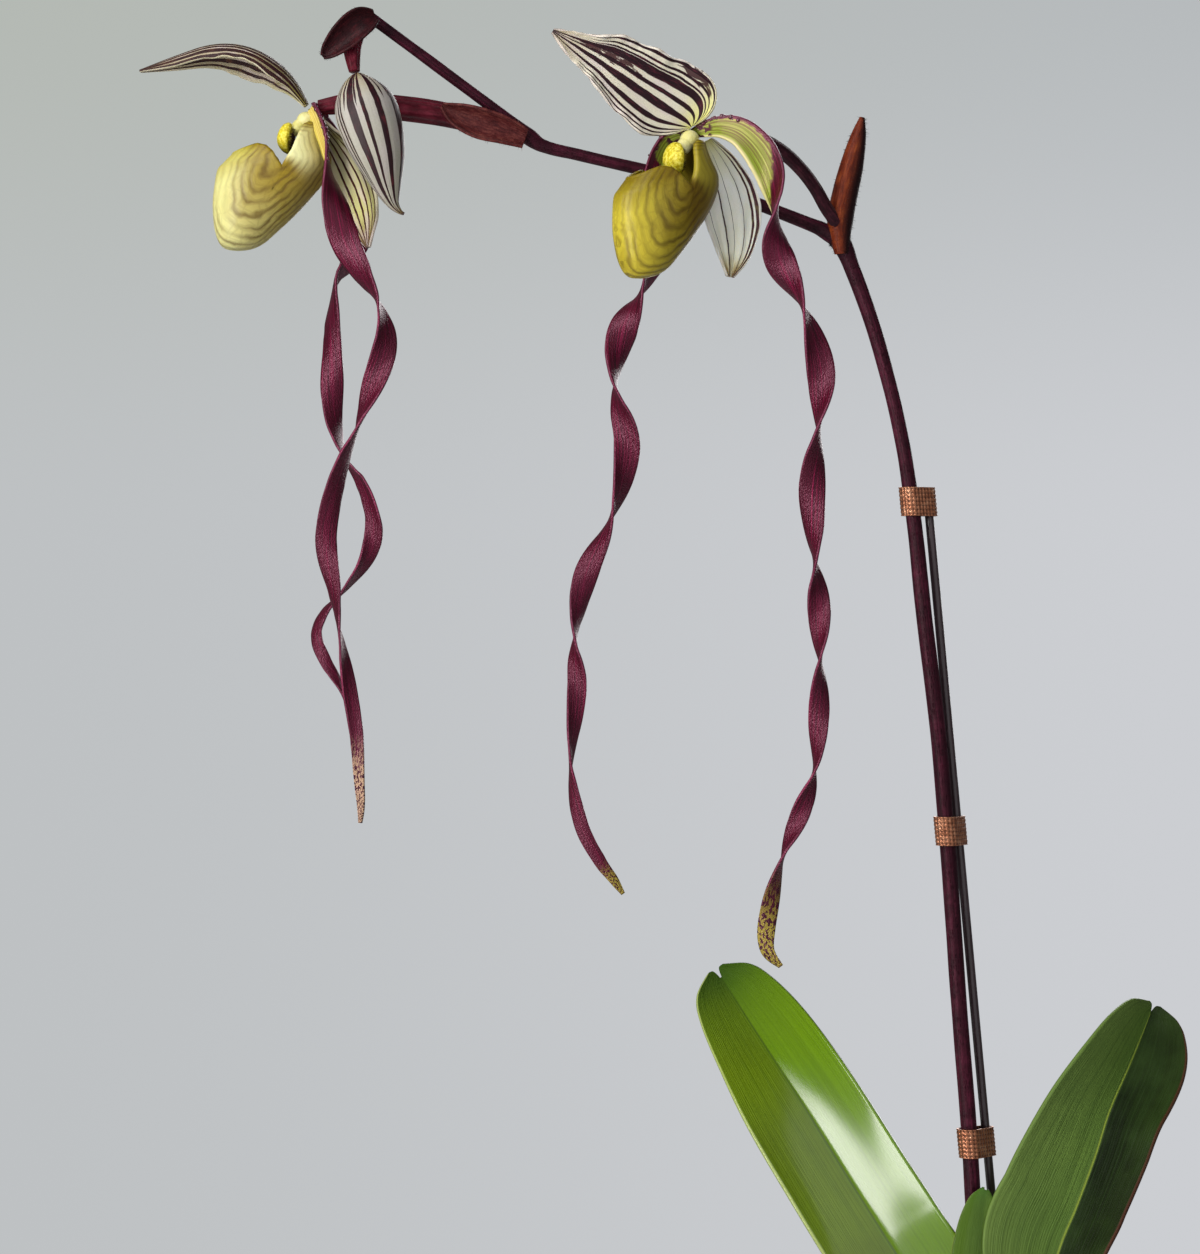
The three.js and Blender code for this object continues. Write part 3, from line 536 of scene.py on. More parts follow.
# In petalLook, sheen is the tone of pinkish painted highlight speckles on the lower petals.
petalLook = {
    "deep": (34, 0, 8), "mid": (66, 0, 22), "bright": (146, 18, 70), "rim": (146, 70, 98),
    "sheen": (190, 96, 132), "gloss": (255, 176, 206),
    "base": (112, 132, 16), "pale": (166, 178, 76), "vein": (92, 78, 18),
    "lowMargin": (220, 210, 150), "blotch": (44, 6, 14), "tipTone": (140, 128, 40), "tipSpot": (40, 6, 14),
    "roughness": 0.34, "specular": 0.6, "pearlScale": 2600.0, "pearlDepth": 0.00009,
}


# Maroon comes in from one margin near the base and takes in the whole width further on.
def petalMaterial(name, ownLook):
    look = {**petalLook, **ownLook}
    material, tree, shader = newMaterial(name, look["roughness"], look["specular"])
    place, across, along = surfacePlace(tree)
    signed = calc(tree, "MULTIPLY_ADD", across, 2.0, -1.0)
    side = calc(tree, "ABSOLUTE", signed)
    grain = grainAt(tree, place, 26, 900, 2.0, 0.6)
    fibres = grainAt(tree, place, 34, 12, 2.0)
    maroon = ramp(tree, fibres, [(0.3, look["deep"]), (0.55, look["mid"]), (0.85, look["bright"])])
    lower = ease(tree, along, 0.12, 0.5, 0.0, 0.5)
    # Painted sheen: pink speckles of painted highlight laid over the maroon on the lower part of each petal.
    maroon = mixed(tree, times(tree, ease(tree, grain, 0.62, 0.76), lower), maroon, look["sheen"])
    maroon = laid(tree, maroon, look["bright"], side, 0.0, 0.07, 0.3, 0.0)
    maroon = laid(tree, maroon, look["rim"], side, 0.95, 1.0, 0.0, 0.3)
    veins = grainAt(tree, place, 16, 5, 2.0, 0.4)
    green = laid(tree, look["base"], look["pale"], veins, 0.35, 0.5, 0.7, 0.0)
    green = laid(tree, green, look["vein"], veins, 0.52, 0.6, 0.0, 0.8)
    turned = times(tree, signed, look["darkSide"])
    green = laid(tree, green, look["lowMargin"], turned, -0.95, -0.7, 0.9, 0.0)
    ragged = grainAt(tree, place, 6, 60, 2.0, 0.6)
    sweep = ease(tree, along, *look["sweep"], -0.25, 2.2)
    edging = plus(tree, turned, calc(tree, "MULTIPLY_ADD", ragged, 0.6, sweep))
    colour = laid(tree, green, maroon, edging, look["edge"], look["edge"] + 0.22)
    near = ease(tree, along, look["blotchAt"], look["blotchAt"] + 0.012, 1.0, 0.0)
    dots = grainAt(tree, place, 3, 46, 1.0)
    colour = mixed(tree, times(tree, near, ease(tree, dots, 0.5, 0.53)), colour, look["blotch"])
    spots = grainAt(tree, place, 6, 170, 1.0)
    speckled = laid(tree, look["tipTone"], look["tipSpot"], spots, 0.49, 0.54)
    paint(tree, shader, laid(tree, colour, speckled, along, *look["tipFrom"]))
    pearls = pebblesAt(tree, objectPlace(tree), look["pearlScale"])
    grains = times(tree, pearls, calc(tree, "MULTIPLY_ADD", lower, 2.4, 0.3))
    setBump(tree, shader, minus(tree, times(tree, fibres, 0.6), grains), 1.0, look["pearlDepth"])
    shader.inputs["Specular Tint"].default_value = tint(look["gloss"])
    return material


petalShape = {
    "columns": 14, "stepsPerRow": 12, "roll": 18, "crimp": 0.25, "crimps": 30, "scallop": 0.05, "wall": 0.6,
}
# A petal's row is x, y, z, width, turn. Its warts are side, from, to (shares of the length) and count.
petals = {
    "petal_left_near": {
        "look": {
            "darkSide": 1, "edge": 0.35, "sweep": (0.11, 0.17), "blotchAt": -0.1, "tipFrom": (0.84, 0.9),
            "tipTone": (170, 142, 112), "base": (206, 186, 84), "pale": (230, 216, 150),
            "vein": (180, 140, 70), "lowMargin": (206, 190, 80),
        },
        "warts": (0.88, 0.0, 0.15, 40),
        "rows": [
            [-171.2, 1.6, 420.8, 3.4, -40], [-169.5, -1, 417.5, 5.0, -55], [-167.4, -4, 411.5, 6.4, -70],
            [-166.0, -6.6, 404.6, 6.9, -95], [-164.4, -8.2, 395.3, 7.2, -150], [-162.4, -9, 387, 7.4, -185],
            [-158.4, -9.5, 378.6, 7.1, -225], [-154.1, -10, 370.9, 6.8, -270],
            [-152.2, -10, 361.2, 6.5, -325], [-155.1, -10, 350.1, 6.3, -390],
            [-159.3, -10, 338.5, 6.0, -450], [-163.8, -10, 327.1, 5.7, -490],
            [-166.7, -10, 313.2, 5.3, -530], [-165.0, -10, 299.9, 5.0, -590], [-163.5, -10, 289, 4.6, -630],
            [-161.3, -10, 276.9, 4.2, -680], [-159.3, -10, 265, 3.4, -715], [-158.6, -10, 254.2, 2.8, -735],
            [-158.1, -10, 246.7, 2.0, -745], [-158.3, -10, 242.3, 0.9, -750],
        ],
    },
    "petal_left_far": {
        "look": {
            "darkSide": 1, "edge": 0.5, "sweep": (0.04, 0.12), "blotchAt": -0.1, "tipFrom": (0.93, 0.97),
            "tipTone": (150, 130, 96),
        },
        "warts": (0.9, 0.0, 0.1, 10),
        "rows": [
            [-170.9, 5.2, 421.2, 3.4, -30], [-167.9, 11, 415.4, 6.0, -10], [-163.1, 15, 404.4, 6.8, 0],
            [-160.3, 16, 391.8, 7.0, 20], [-163.4, 16, 383.6, 6.6, 60], [-166.4, 16, 378.8, 6.4, 90],
            [-167.3, 16, 369.4, 6.2, 125], [-167.3, 16, 359.7, 6.0, 150], [-166.7, 16, 344.7, 5.6, 220],
            [-163.6, 15, 334, 5.4, 270], [-159.2, 14, 327.1, 5.2, 300], [-156.3, 13, 317.4, 5.0, 325],
            [-158.2, 14, 308.5, 4.6, 400], [-164.8, 15, 299.6, 4.2, 450], [-169.4, 15, 294.3, 3.9, 480],
            [-171.2, 15, 288.5, 3.5, 500], [-168.6, 14, 281.9, 3.0, 550], [-164.4, 13, 275.3, 2.6, 600],
            [-162.3, 12, 269.2, 2.0, 620], [-161.3, 12, 264.1, 0.9, 630],
        ],
    },
    "petal_middle_right": {
        "look": {
            "darkSide": 1, "edge": 0.68, "sweep": (0.17, 0.35), "blotchAt": 0.06, "tipFrom": (0.86, 0.93),
        },
        "warts": (0.93, 0.04, 0.13, 16),
        "rows": [
            [-76.4, -23.0, 411.0, 2.4, 0], [-73.2, -25.2, 411.8, 4.0, 0], [-69.2, -28, 411.9, 5.6, 0],
            [-64.7, -30.5, 410.0, 7.2, 0], [-60.3, -33, 404.9, 8.2, -8], [-57.4, -35, 398.2, 8.0, -38],
            [-56.5, -36, 390.4, 7.2, -90], [-56.1, -37, 379.4, 7.6, -180], [-50.8, -37, 367.9, 7.2, -270],
            [-46.1, -37, 352.6, 6.9, -360], [-46.3, -37, 338.9, 6.6, -450], [-48.1, -37, 323.6, 6.4, -540],
            [-47.7, -37, 306.8, 6.0, -630], [-46.5, -37, 295.3, 5.6, -720], [-46.0, -37, 283.3, 5.3, -810],
            [-46.5, -37, 270.4, 5.0, -900], [-47.7, -37, 256.7, 4.8, -990], [-50.8, -37, 246.4, 4.6, -1080],
            [-54.9, -37, 235.9, 4.4, -1170], [-58.5, -37, 222.4, 4.4, -1250],
            [-59.0, -37, 213.8, 3.6, -1275], [-55.6, -37, 209.4, 1.2, -1290],
        ],
    },
    "petal_middle_left": {
        "look": {
            "darkSide": -1, "edge": 0.6, "sweep": (0.08, 0.15), "blotchAt": 0.05, "tipFrom": (0.88, 0.95),
        },
        "warts": (-0.93, 0.03, 0.1, 10),
        "rows": [
            [-77.6, -22.4, 410.6, 3.6, 20], [-82.3, -17, 409.2, 6.0, 30], [-84.7, -13, 402.9, 7.2, 20],
            [-85.2, -11.5, 393.2, 7.4, 25], [-85.2, -11, 382.7, 7.4, 50], [-88.9, -10.5, 373.8, 7.3, 90],
            [-93.6, -10.5, 363.6, 7.3, 180], [-95.0, -10.5, 350.3, 6.9, 270], [-92.3, -10.5, 335, 6.5, 360],
            [-96.3, -10.5, 318.2, 6.2, 450], [-102.7, -10.5, 303.1, 5.9, 540],
            [-104.9, -10.5, 288, 5.3, 630], [-104.7, -10.5, 275.2, 4.8, 720],
            [-106.4, -10.5, 256.7, 4.3, 810], [-103.9, -10.5, 242.6, 3.7, 880],
            [-99.2, -10.5, 233.2, 3.0, 905], [-95.8, -10.5, 228.5, 2.3, 910],
            [-93.3, -10.5, 224.8, 0.9, 910],
        ],
    },
}
wartShape = {
    "tracks": 200, "inward": 0.75, "proud": 0.3, "radii": (0.3, 0.75), "roughness": 0.22, "coat": 0.5,
}


def wartMaterial():
    material, tree, shader = newMaterial("wartSkin", wartShape["roughness"], 0.5)
    grain = noiseAt(tree, objectPlace(tree), 1800.0, 2.0)
    paint(tree, shader, ramp(tree, grain, [(0.35, (58, 8, 26)), (0.7, (104, 26, 58))]))
    shader.inputs["Coat Weight"].default_value = wartShape["coat"]
    return material


def wartGrid(rows, side, start, end, count):
    bm = bmesh.new()
    tracks = wartShape["tracks"]
    frames = framesOf(rows, tracks)
    for k in range(count):
        v = start + (end - start) * (k + 0.5) / count
        row, centre, along, across, away = frames[round(v * tracks)]
        turn = math.radians(row[5])
        wide = across * math.cos(turn) + away * math.sin(turn)
        spot = centre + wide * row[3] * side * random.uniform(wartShape["inward"], 1.0)
        spot += along.cross(wide) * random.uniform(0.0, wartShape["proud"])
        size = Matrix.Diagonal((*(random.uniform(*wartShape["radii"]) for _ in range(3)), 1))
        matrix = Matrix.Scale(mm, 4) @ Matrix.Translation(spot) @ size
        bmesh.ops.create_icosphere(bm, subdivisions=2, radius=1, matrix=matrix)
    return bm


wartSkin = wartMaterial()
for name, petal in petals.items():
    rows = [[x, y, z, width / 2, width / 2, turn] for x, y, z, width, turn in petal["rows"]]
    steps = petalShape["stepsPerRow"] * (len(rows) - 1)
    shape = {**petalShape, "rows": rows, "steps": steps, "seed": len(name)}
    tissue = petalMaterial(name + "_tissue", petal["look"])
    piece = finishPiece(bladeGrid(shape), name + "_fine", tissue, name)
    thickness(piece, petalShape["wall"])
    finishPiece(wartGrid(rows, *petal["warts"]), name + "_warts", wartSkin, name)
print("petals made")


flowers = {
    "left": {"foot": (-171.7, 3, 419.9), "facing": 180, "nod": 0},
    "middle": {"foot": (-76.6, -24.4, 411.6), "facing": 210, "nod": 7},
}


def flowerPlace(flower):
    facing = Matrix.Rotation(math.radians(flower["facing"]), 4, "Z")
    nod = Matrix.Rotation(math.radians(flower["nod"]), 4, "Y")
    return Matrix.Translation(Vector(flower["foot"])) @ facing @ nod


# In a flower's own frame +x is the way that it faces. A level is height, back, front, half width, and the
# rim is the pouch's edge height for each angle from the front.
pouchShape = {
    "around": 144, "upward": 64, "lipTurns": 6, "lipRadius": 0.6, "wall": 0.8,
    "levels": [
        [-34.4, 17.8, 18.6, 0.4], [-33.9, 14.6, 21.2, 3.0], [-32.4, 11.6, 22.6, 4.9],
        [-29.6, 8.4, 23.5, 6.4], [-26.2, 4.7, 23.9, 7.4], [-22.6, 1.2, 24.0, 8.0], [-18.6, -2.2, 23.6, 8.1],
        [-14.8, -4.4, 22.9, 7.8], [-13.2, -4.8, 21.6, 7.5], [-11.6, -4.9, 20.0, 7.1],
        [-10.0, -4.4, 18.3, 6.7], [-8.0, -3.6, 16.4, 6.0], [-5.0, -2.8, 14.0, 4.6], [-2.8, -2.6, 12.0, 3.8],
    ],
    "rim": [
        (0, -11.1), (20, -10.8), (35, -10.2), (54, -9.3), (70, -9.9), (82, -11.3), (96, -13.9),
        (102.5, -15.2), (104.6, -12.5), (110.7, -8.9), (117.8, -5.9), (123.7, -4.2), (135, -3.6),
        (180, -3.6),
    ],
    "notch": (6.6, -11.0), "veins": 9.0, "rounding": 1.15, "lipCurl": 0.75,
}


def pouchRim(angle):
    degrees = math.degrees(angle) % 360
    degrees = min(degrees, 360 - degrees)
    for (start, low), (end, high) in zip(pouchShape["rim"], pouchShape["rim"][1:]):
        if degrees <= end:
            share = (degrees - start) / (end - start)
            return low + (high - low) * share
    return pouchShape["rim"][-1][1]


# Distance from the notch to the pouch's outline in its side view, for each degree.
def outlineReach():
    levels, cuts = pouchShape["levels"], 60
    samples = [rowAt(levels, (len(levels) - 1) * k / cuts) for k in range(cuts + 1)]
    outline = [(front, height) for height, back, front, half in samples]
    outline += [(back, height) for height, back, front, half in reversed(samples)]
    startX, startZ = pouchShape["notch"]
    reach = []
    for degree in range(360):
        stepX, stepZ = math.cos(math.radians(degree)), math.sin(math.radians(degree))
        farthest = 1.0
        for (ax, az), (bx, bz) in zip(outline, outline[1:] + outline[:1]):
            slant = stepX * (bz - az) - stepZ * (bx - ax)
            if abs(slant) < 1e-9:
                continue
            far = ((ax - startX) * (bz - az) - (az - startZ) * (bx - ax)) / slant
            share = ((ax - startX) * stepZ - (az - startZ) * stepX) / slant
            if 0 <= share <= 1:
                farthest = max(farthest, far)
        reach.append(farthest)
    return reach


pouchReach = outlineReach()


def pouchGrid(flower):
    levels = pouchShape["levels"]
    last = len(levels) - 1
    around, upward, lip = pouchShape["around"], pouchShape["upward"], pouchShape["lipTurns"]
    tops, halvings = [], 30
    for k in range(around):
        rim = min(pouchRim(2 * math.pi * k / around), levels[-1][0])
        low, high = 0.0, float(last)
        for _ in range(halvings):
            middle = (low + high) / 2
            if rowAt(levels, middle)[0] < rim:
                low = middle
            else:
                high = middle
        tops.append(low)

    def local(u, v):
        k = round(u * around) % around
        angle = 2 * math.pi * k / around
        row = round(v * (upward + lip))
        share = min(row / upward, 1)
        height, back, front, half = rowAt(levels, tops[k] * (1 - (1 - share) ** pouchShape["rounding"]))
        shrink = 0.0
        if row > upward:
            curl = math.pi * pouchShape["lipCurl"] * (row - upward) / lip
            shrink = pouchShape["lipRadius"] * (1 - math.cos(curl))
            height += pouchShape["lipRadius"] * math.sin(curl)
        closed = 0 if row == 0 else 1
        x = (front + back) / 2 + closed * ((front - back) / 2 - shrink) * math.cos(angle)
        y = closed * (half - shrink) * math.sin(angle)
        return Vector((x, y, height))

    notchX, notchZ = pouchShape["notch"]
    bm = bmesh.new()
    uvLayer = bm.loops.layers.uv.new("surface")
    bmesh.ops.create_grid(bm, x_segments=around, y_segments=upward + lip, size=0.5)
    for vert in bm.verts:
        vert.co = local(vert.co.x + 0.5, vert.co.y + 0.5)
    for face in bm.faces:
        for loop in face.loops:
            x, y, z = loop.vert.co
            offX, offZ = x - notchX, z - notchZ
            degrees = math.degrees(math.atan2(offZ, offX)) % 360
            far = math.hypot(offX, offZ) / pouchReach[int(degrees) % 360]
            spread = math.asin(min(far, 1)) / (math.pi / 2)
            loop[uvLayer].uv = (spread, ((degrees + 270) % 360) / 360)
    onPlant = flowerPlace(flower)
    for vert in bm.verts:
        vert.co = onPlant @ vert.co * mm
    weld(bm)
    return bm


pouchSkin = {
    "roughness": 0.38, "specular": 0.22, "coat": 0.05, "coatRoughness": 0.22, "net": 300.0, "sway": 2.2,
}


def pouchMaterial(name, look):
    material, tree, shader = newMaterial(name, pouchSkin["roughness"], pouchSkin["specular"])
    place, spread, turn = surfacePlace(tree)
    here = objectPlace(tree)

    def fromHalf(value):
        return calc(tree, "ABSOLUTE", minus(tree, calc(tree, "FRACT", value), 0.5))

    sway = noiseAt(tree, here, 110.0)
    lines = calc(tree, "MULTIPLY_ADD", sway, pouchSkin["sway"], times(tree, spread, pouchShape["veins"]))
    broken = grainAt(tree, place, 5, 9, 2.0)
    vein = ease(tree, fromHalf(lines), 0.0, 0.34, 1.0, 0.0)
    vein = times(tree, vein, ease(tree, broken, 0.3, 0.6, 0.25, 1.0))
    thin = ease(tree, fromHalf(times(tree, lines, 2.0)), 0.0, 0.18, 0.3, 0.0)
    net = pebblesAt(tree, here, pouchSkin["net"], {"feature": "DISTANCE_TO_EDGE"})
    links = ease(tree, net, 0.0, 0.12, 0.35, 0.0)
    patch = noiseAt(tree, here, 60.0)
    ground = laid(tree, ramp(tree, turn, look["round"]), look["ochre"], patch, 0.35, 0.7, 0.0, 0.35)
    ground = laid(tree, ground, look["coreTone"], spread, 0.62, 0.2, 0.0, look["core"])
    band = times(tree, ease(tree, turn, 0.43, 0.28), ease(tree, spread, 0.8, 0.2))
    ground = mixed(tree, times(tree, band, look["bandShare"]), ground, look["band"])
    # The veins fade out under the painted highlight on the lower front of the pouch.
    glare = times(tree, ease(tree, turn, 0.56, 0.68), ease(tree, turn, 0.9, 0.82))
    faded = times(tree, glare, ease(tree, spread, 0.3, 0.6, 0.0, look["faded"]))
    shown = minus(tree, 1.0, times(tree, calc(tree, "MAXIMUM", band, faded), 0.85))
    vein = times(tree, vein, shown)
    colour = mixed(tree, times(tree, vein, look["veinShare"]), ground, look["vein"])
    finer = times(tree, calc(tree, "MAXIMUM", thin, links), shown)
    paint(tree, shader, mixed(tree, finer, colour, mixed(tree, 0.5, ground, look["vein"])))
    fine = grainAt(tree, place, 60, 12, 2.0)
    setBump(tree, shader, minus(tree, times(tree, fine, 0.6), times(tree, vein, 0.6)), 0.3, 0.0004)
    setGlow(shader, 0.15, (0.003, 0.002, 0.001))
    shader.inputs["Coat Weight"].default_value = pouchSkin["coat"]
    shader.inputs["Coat Roughness"].default_value = pouchSkin["coatRoughness"]
    return material


# The colours round a pouch go by the angle about its notch, as seen from the side. The pale stretch on the
# lower front of each round is a painted highlight, and the darker back and underside of the middle pouch is
# painted shade.
pouchLooks = {
    "left": {
        "round": [
            (0.0, (148, 128, 0)), (0.22, (150, 134, 56)), (0.36, (136, 112, 44)), (0.5, (164, 146, 66)),
            (0.58, (214, 208, 140)), (0.68, (214, 210, 140)), (0.74, (196, 188, 96)), (0.79, (142, 124, 4)),
            (0.92, (134, 112, 0)), (1.0, (142, 122, 0)),
        ],
        "ochre": (158, 138, 50), "vein": (92, 66, 22), "veinShare": 0.78, "core": 0.85,
        "coreTone": (142, 118, 16), "bandShare": 0.95, "band": (232, 230, 170), "faded": 0.9,
    },
    "middle": {
        "round": [
            (0.0, (140, 124, 0)), (0.22, (132, 116, 24)), (0.36, (108, 88, 20)), (0.5, (110, 88, 12)),
            (0.6, (190, 172, 50)), (0.67, (206, 190, 60)), (0.74, (130, 112, 0)), (0.86, (116, 96, 0)),
            (1.0, (140, 124, 0)),
        ],
        "ochre": (122, 102, 6), "vein": (70, 48, 8), "veinShare": 0.75, "core": 0.65,
        "coreTone": (104, 82, 16), "bandShare": 0.75, "band": (172, 158, 52), "faded": 0.6,
    },
}
for name, flower in flowers.items():
    pouchTissue = pouchMaterial(f"pouchTissue_{name}", pouchLooks[name])
    pouch = finishPiece(pouchGrid(flower), f"pouch_{name}_fine", pouchTissue, f"pouch_{name}")
    thickness(pouch, pouchShape["wall"])
print("pouches made")


# Each part of a column is its middle, radii and lean in degrees, in the flower's own frame.
columnParts = {
    "ball": ((1.0, 0, -2.2), (2.4, 2.3, 2.3), 0),
    "neck": ((2.6, 0, -3.6), (3.2, 1.9, 1.9), 42),
    "shield": ((5.8, 0, -6.6), (2.5, 3.9, 4.0), -12),
}
columnShape = {
    "segments": 32, "shieldSegments": 64, "rough": 0.03, "bulge": 1.1, "chin": 1.0,
    "hairs": 420, "hair": {"length": 0.8, "width": 0.05, "droop": 0.5},
}


def columnMaterial():
    material, tree, shader = newMaterial("columnTissue", 0.5, 0.4)
    here = objectPlace(tree)
    shade = addNode(tree, "Attribute", {}, {"attribute_name": "shieldShare"}, output=2)
    dark = addNode(tree, "Attribute", {}, {"attribute_name": "barShare"}, output=2)
    grain = noiseAt(tree, here, 1500.0, 3.0, 0.6)
    patch = noiseAt(tree, here, 260.0, 2.0)
    cream = ramp(tree, patch, [(0.3, (230, 224, 170)), (0.7, (204, 196, 112))])
    yellow = ramp(tree, grain, [(0.35, (176, 152, 14)), (0.5, (214, 198, 36)), (0.65, (236, 224, 104))])
    paint(tree, shader, mixed(tree, dark, mixed(tree, shade, cream, yellow), (44, 12, 18)))
    pebbles = pebblesAt(tree, here, 1400.0)
    setBump(tree, shader, minus(tree, grain, pebbles), 0.4, 0.0002)
    setGlow(shader, 0.1, (0.002, 0.0016, 0.001))
    return material


columnTissue = columnMaterial()


def columnGrid(flower, seed):
    bm = bmesh.new()
    shieldLayer = bm.verts.layers.float.new("shieldShare")
    barLayer = bm.verts.layers.float.new("barShare")
    for part, (middle, radii, lean) in columnParts.items():
        isShield = part == "shield"
        turned = Matrix.Rotation(math.radians(lean), 4, "Y")
        place = Matrix.Translation(middle) @ turned @ Matrix.Diagonal((*radii, 1))
        segments = columnShape["shieldSegments" if isShield else "segments"]
        made = bmesh.ops.create_uvsphere(bm, u_segments=segments, v_segments=segments // 2, radius=1)
        for vert in made["verts"]:
            unit = vert.co.copy()
            rough = columnShape["rough"] * noise.noise(unit * 9 + Vector((seed, 0, 0))) if isShield else 0
            vert.co = place @ (unit * (1 + rough))
            if isShield:
                vert[shieldLayer] = 1
                vert[barLayer] = max(0, min(1, (-unit.x - 0.45) * 5)) * (1 if unit.z > -0.8 else 0)
                if unit.x < 0:
                    vert.co.x += columnShape["bulge"] * -unit.x
                if unit.z < 0:
                    vert.co.x -= columnShape["chin"] * unit.z * unit.z
    bmesh.ops.transform(bm, matrix=Matrix.Scale(mm, 4) @ flowerPlace(flower), verts=bm.verts)

    def onBar(face):
        return sum(vert[barLayer] for vert in face.verts) > 2.6

    growHairs(bm, columnShape["hairs"], columnShape["hair"], onBar)
    return bm


for index, (name, flower) in enumerate(flowers.items()):
    finishPiece(columnGrid(flower, index), f"column_{name}_fine", columnTissue, f"column_{name}")
print("columns made")


# Skin of stems, ovaries and bracts; darkSide is from, to (shares of the width) and a tone of painted shade.
def skinMaterial(name, tones, roughness, sheen, darkSide=None):
    material, tree, shader = newMaterial(name, roughness, 0.14)
    place, around, along = surfacePlace(tree)
    here = objectPlace(tree)
    streaks = grainAt(tree, place, 18, 10, 3.0, 0.6)
    patch = noiseAt(tree, here, 300.0, 3.0, 0.6)
    blend = plus(tree, times(tree, streaks, 0.6), times(tree, patch, 0.4))
    colour = ramp(tree, blend, [(0.3, tones[0]), (0.5, tones[1]), (0.7, tones[2])])
    if darkSide:
        start, end, tone = darkSide
        colour = laid(tree, colour, tone, around, start, end)
    paint(tree, shader, colour)
    fine = noiseAt(tree, here, 2200.0, 2.0, 0.6)
    setBump(tree, shader, plus(tree, streaks, fine), 0.35, 0.0003)
    shader.inputs["Sheen Weight"].default_value = sheen
    shader.inputs["Sheen Roughness"].default_value = 0.4
    return material


stemSkin = skinMaterial("stemSkin", [(24, 0, 10), (46, 4, 20), (84, 24, 46)], 0.5, 0.04)
stemShape = {
    "sides": 40, "steps": 420, "lump": 0.08, "seed": 2, "hairs": 5200,
    "hair": {"length": 0.55, "width": 0.1, "droop": 0.35}, "tiedRows": 11.0,
    "rows": [
        [-0.2, 0, 67.5, 4.2], [-2.0, 0, 97.5, 4.2], [-5.0, -0.2, 135, 4.1], [-6.9, -0.4, 166.3, 4.0],
        [-9.2, -0.5, 195, 4.0], [-11.3, -0.6, 225, 4.0], [-14.3, -0.6, 262, 4.0], [-18.0, -0.3, 293.5, 4.0],
        [-20.6, 0, 318, 3.8], [-24.0, 0, 340, 3.6], [-30.0, 0, 363.5, 3.7], [-36.0, 0, 380.5, 4.0],
        [-38.8, 0, 386.8, 5.0], [-42.0, 0.3, 389.3, 4.2], [-48.5, 0.6, 392.3, 3.3],
        [-72.5, 1.2, 401.2, 3.1], [-99.0, 0.5, 407.6, 3.0], [-112.0, 0, 410.6, 3.2],
        [-117.0, -0.4, 413.4, 4.2], [-122.4, -1, 417.8, 3.0], [-144.2, -5, 433.6, 2.7],
        [-156.2, -8.4, 442, 2.8],
    ],
}
stemMesh = stemGrid(stemShape)
growHairs(stemMesh, stemShape["hairs"], stemShape["hair"])
finishPiece(stemMesh, "flower_stem_fine", stemSkin, "flower_stem")

ovaryRed = skinMaterial("ovaryRed", [(50, 2, 14), (84, 9, 28), (124, 38, 56)], 0.42, 0.06)
ovaryDark = skinMaterial("ovaryDark", [(22, 2, 9), (42, 9, 20), (76, 30, 42)], 0.5, 0.06)
ovaryHair = {"length": 0.5, "width": 0.12, "droop": 0.3}
ovaries = {
    "ovary_middle": {
        "skin": ovaryDark, "sides": 36, "steps": 90, "ribs": 6, "ribDepth": 0.04, "hairs": 700,
        "rows": [
            [-39.8, -2.2, 391.2, 3.0], [-42.6, -3.6, 395, 3.2], [-45.6, -6, 399.8, 3.2],
            [-49.4, -9.5, 404.1, 3.3], [-54.2, -13.5, 407.8, 3.5], [-60.3, -18, 410.4, 3.7],
            [-67, -22, 411.8, 3.7], [-73.6, -23.8, 412.2, 3.4],
        ],
    },
    "ovary_left": {
        "skin": ovaryRed, "sides": 48, "steps": 110, "ribs": 6, "ribDepth": 0.07, "hairs": 900,
        "rows": [
            [-119.6, -0.4, 414.2, 2.8], [-129, 0.6, 416.8, 5.0], [-139.1, 1.5, 419.3, 5.8],
            [-149.1, 2.2, 420.8, 5.9], [-160.4, 2.8, 422.0, 5.2], [-169.6, 3, 421.0, 3.6],
        ],
    },
    "ovary_bud": {
        "skin": ovaryRed, "sides": 36, "steps": 36, "ribs": 6, "ribDepth": 0.06, "hairs": 350,
        "rows": [[-158.4, -9.2, 439.8, 4.2], [-160.2, -10.2, 434.6, 4.4], [-159.6, -11.7, 427.8, 2.6]],
    },
}
for name, shape in ovaries.items():
    ovary = stemGrid(shape)
    growHairs(ovary, shape["hairs"], ovaryHair)
    finishPiece(ovary, name + "_fine", shape["skin"], name)

budLevels = [(0.0, 0.1), (0.06, 0.28), (0.5, 0.3), (0.8, 0.27), (0.95, 0.2), (1.0, 0.05)]
budShort = [(0.0, 0.3), (0.25, 0.32), (0.42, 0.9), (1.0, 0.9)]
# The broad stripe at 0.96 lies on the bud's right silhouette: a maroon stripe, partly painted shade.
budFront = [(0.585, 0.006), (0.612, 0.008), (0.685, 0.02), (0.745, 0.01), (0.825, 0.018), (0.96, 0.045)]
budBack = [
    (0.06, 0.006), (0.14, 0.009), (0.22, 0.006), (0.31, 0.01), (0.40, 0.006), (0.49, 0.008), (0.55, 0.005),
]
budFine = [(0.1, 0.006), (0.35, 0.006), (0.645, 0.006), (0.715, 0.007), (0.87, 0.006), (0.91, 0.005)]
budStripes = [(budFront, budLevels), (budBack, budLevels), (budFine, budShort)]
budTissue = stripedMaterial("budTissue", {
    "stripes": budStripes, "wobble": 0.014,
    "ground": [
        (0.0, (130, 112, 62)), (0.1, (168, 158, 128)), (0.3, (172, 168, 160)), (0.75, (164, 160, 142)),
        (0.9, (130, 112, 60)), (0.96, (90, 60, 30)), (1.0, (40, 16, 14)),
    ],
    "margin": (206, 200, 180), "stripe": (36, 8, 16), "stripeWarm": (84, 24, 34), "shade": (150, 146, 126),
    "blush": (176, 164, 166),
})
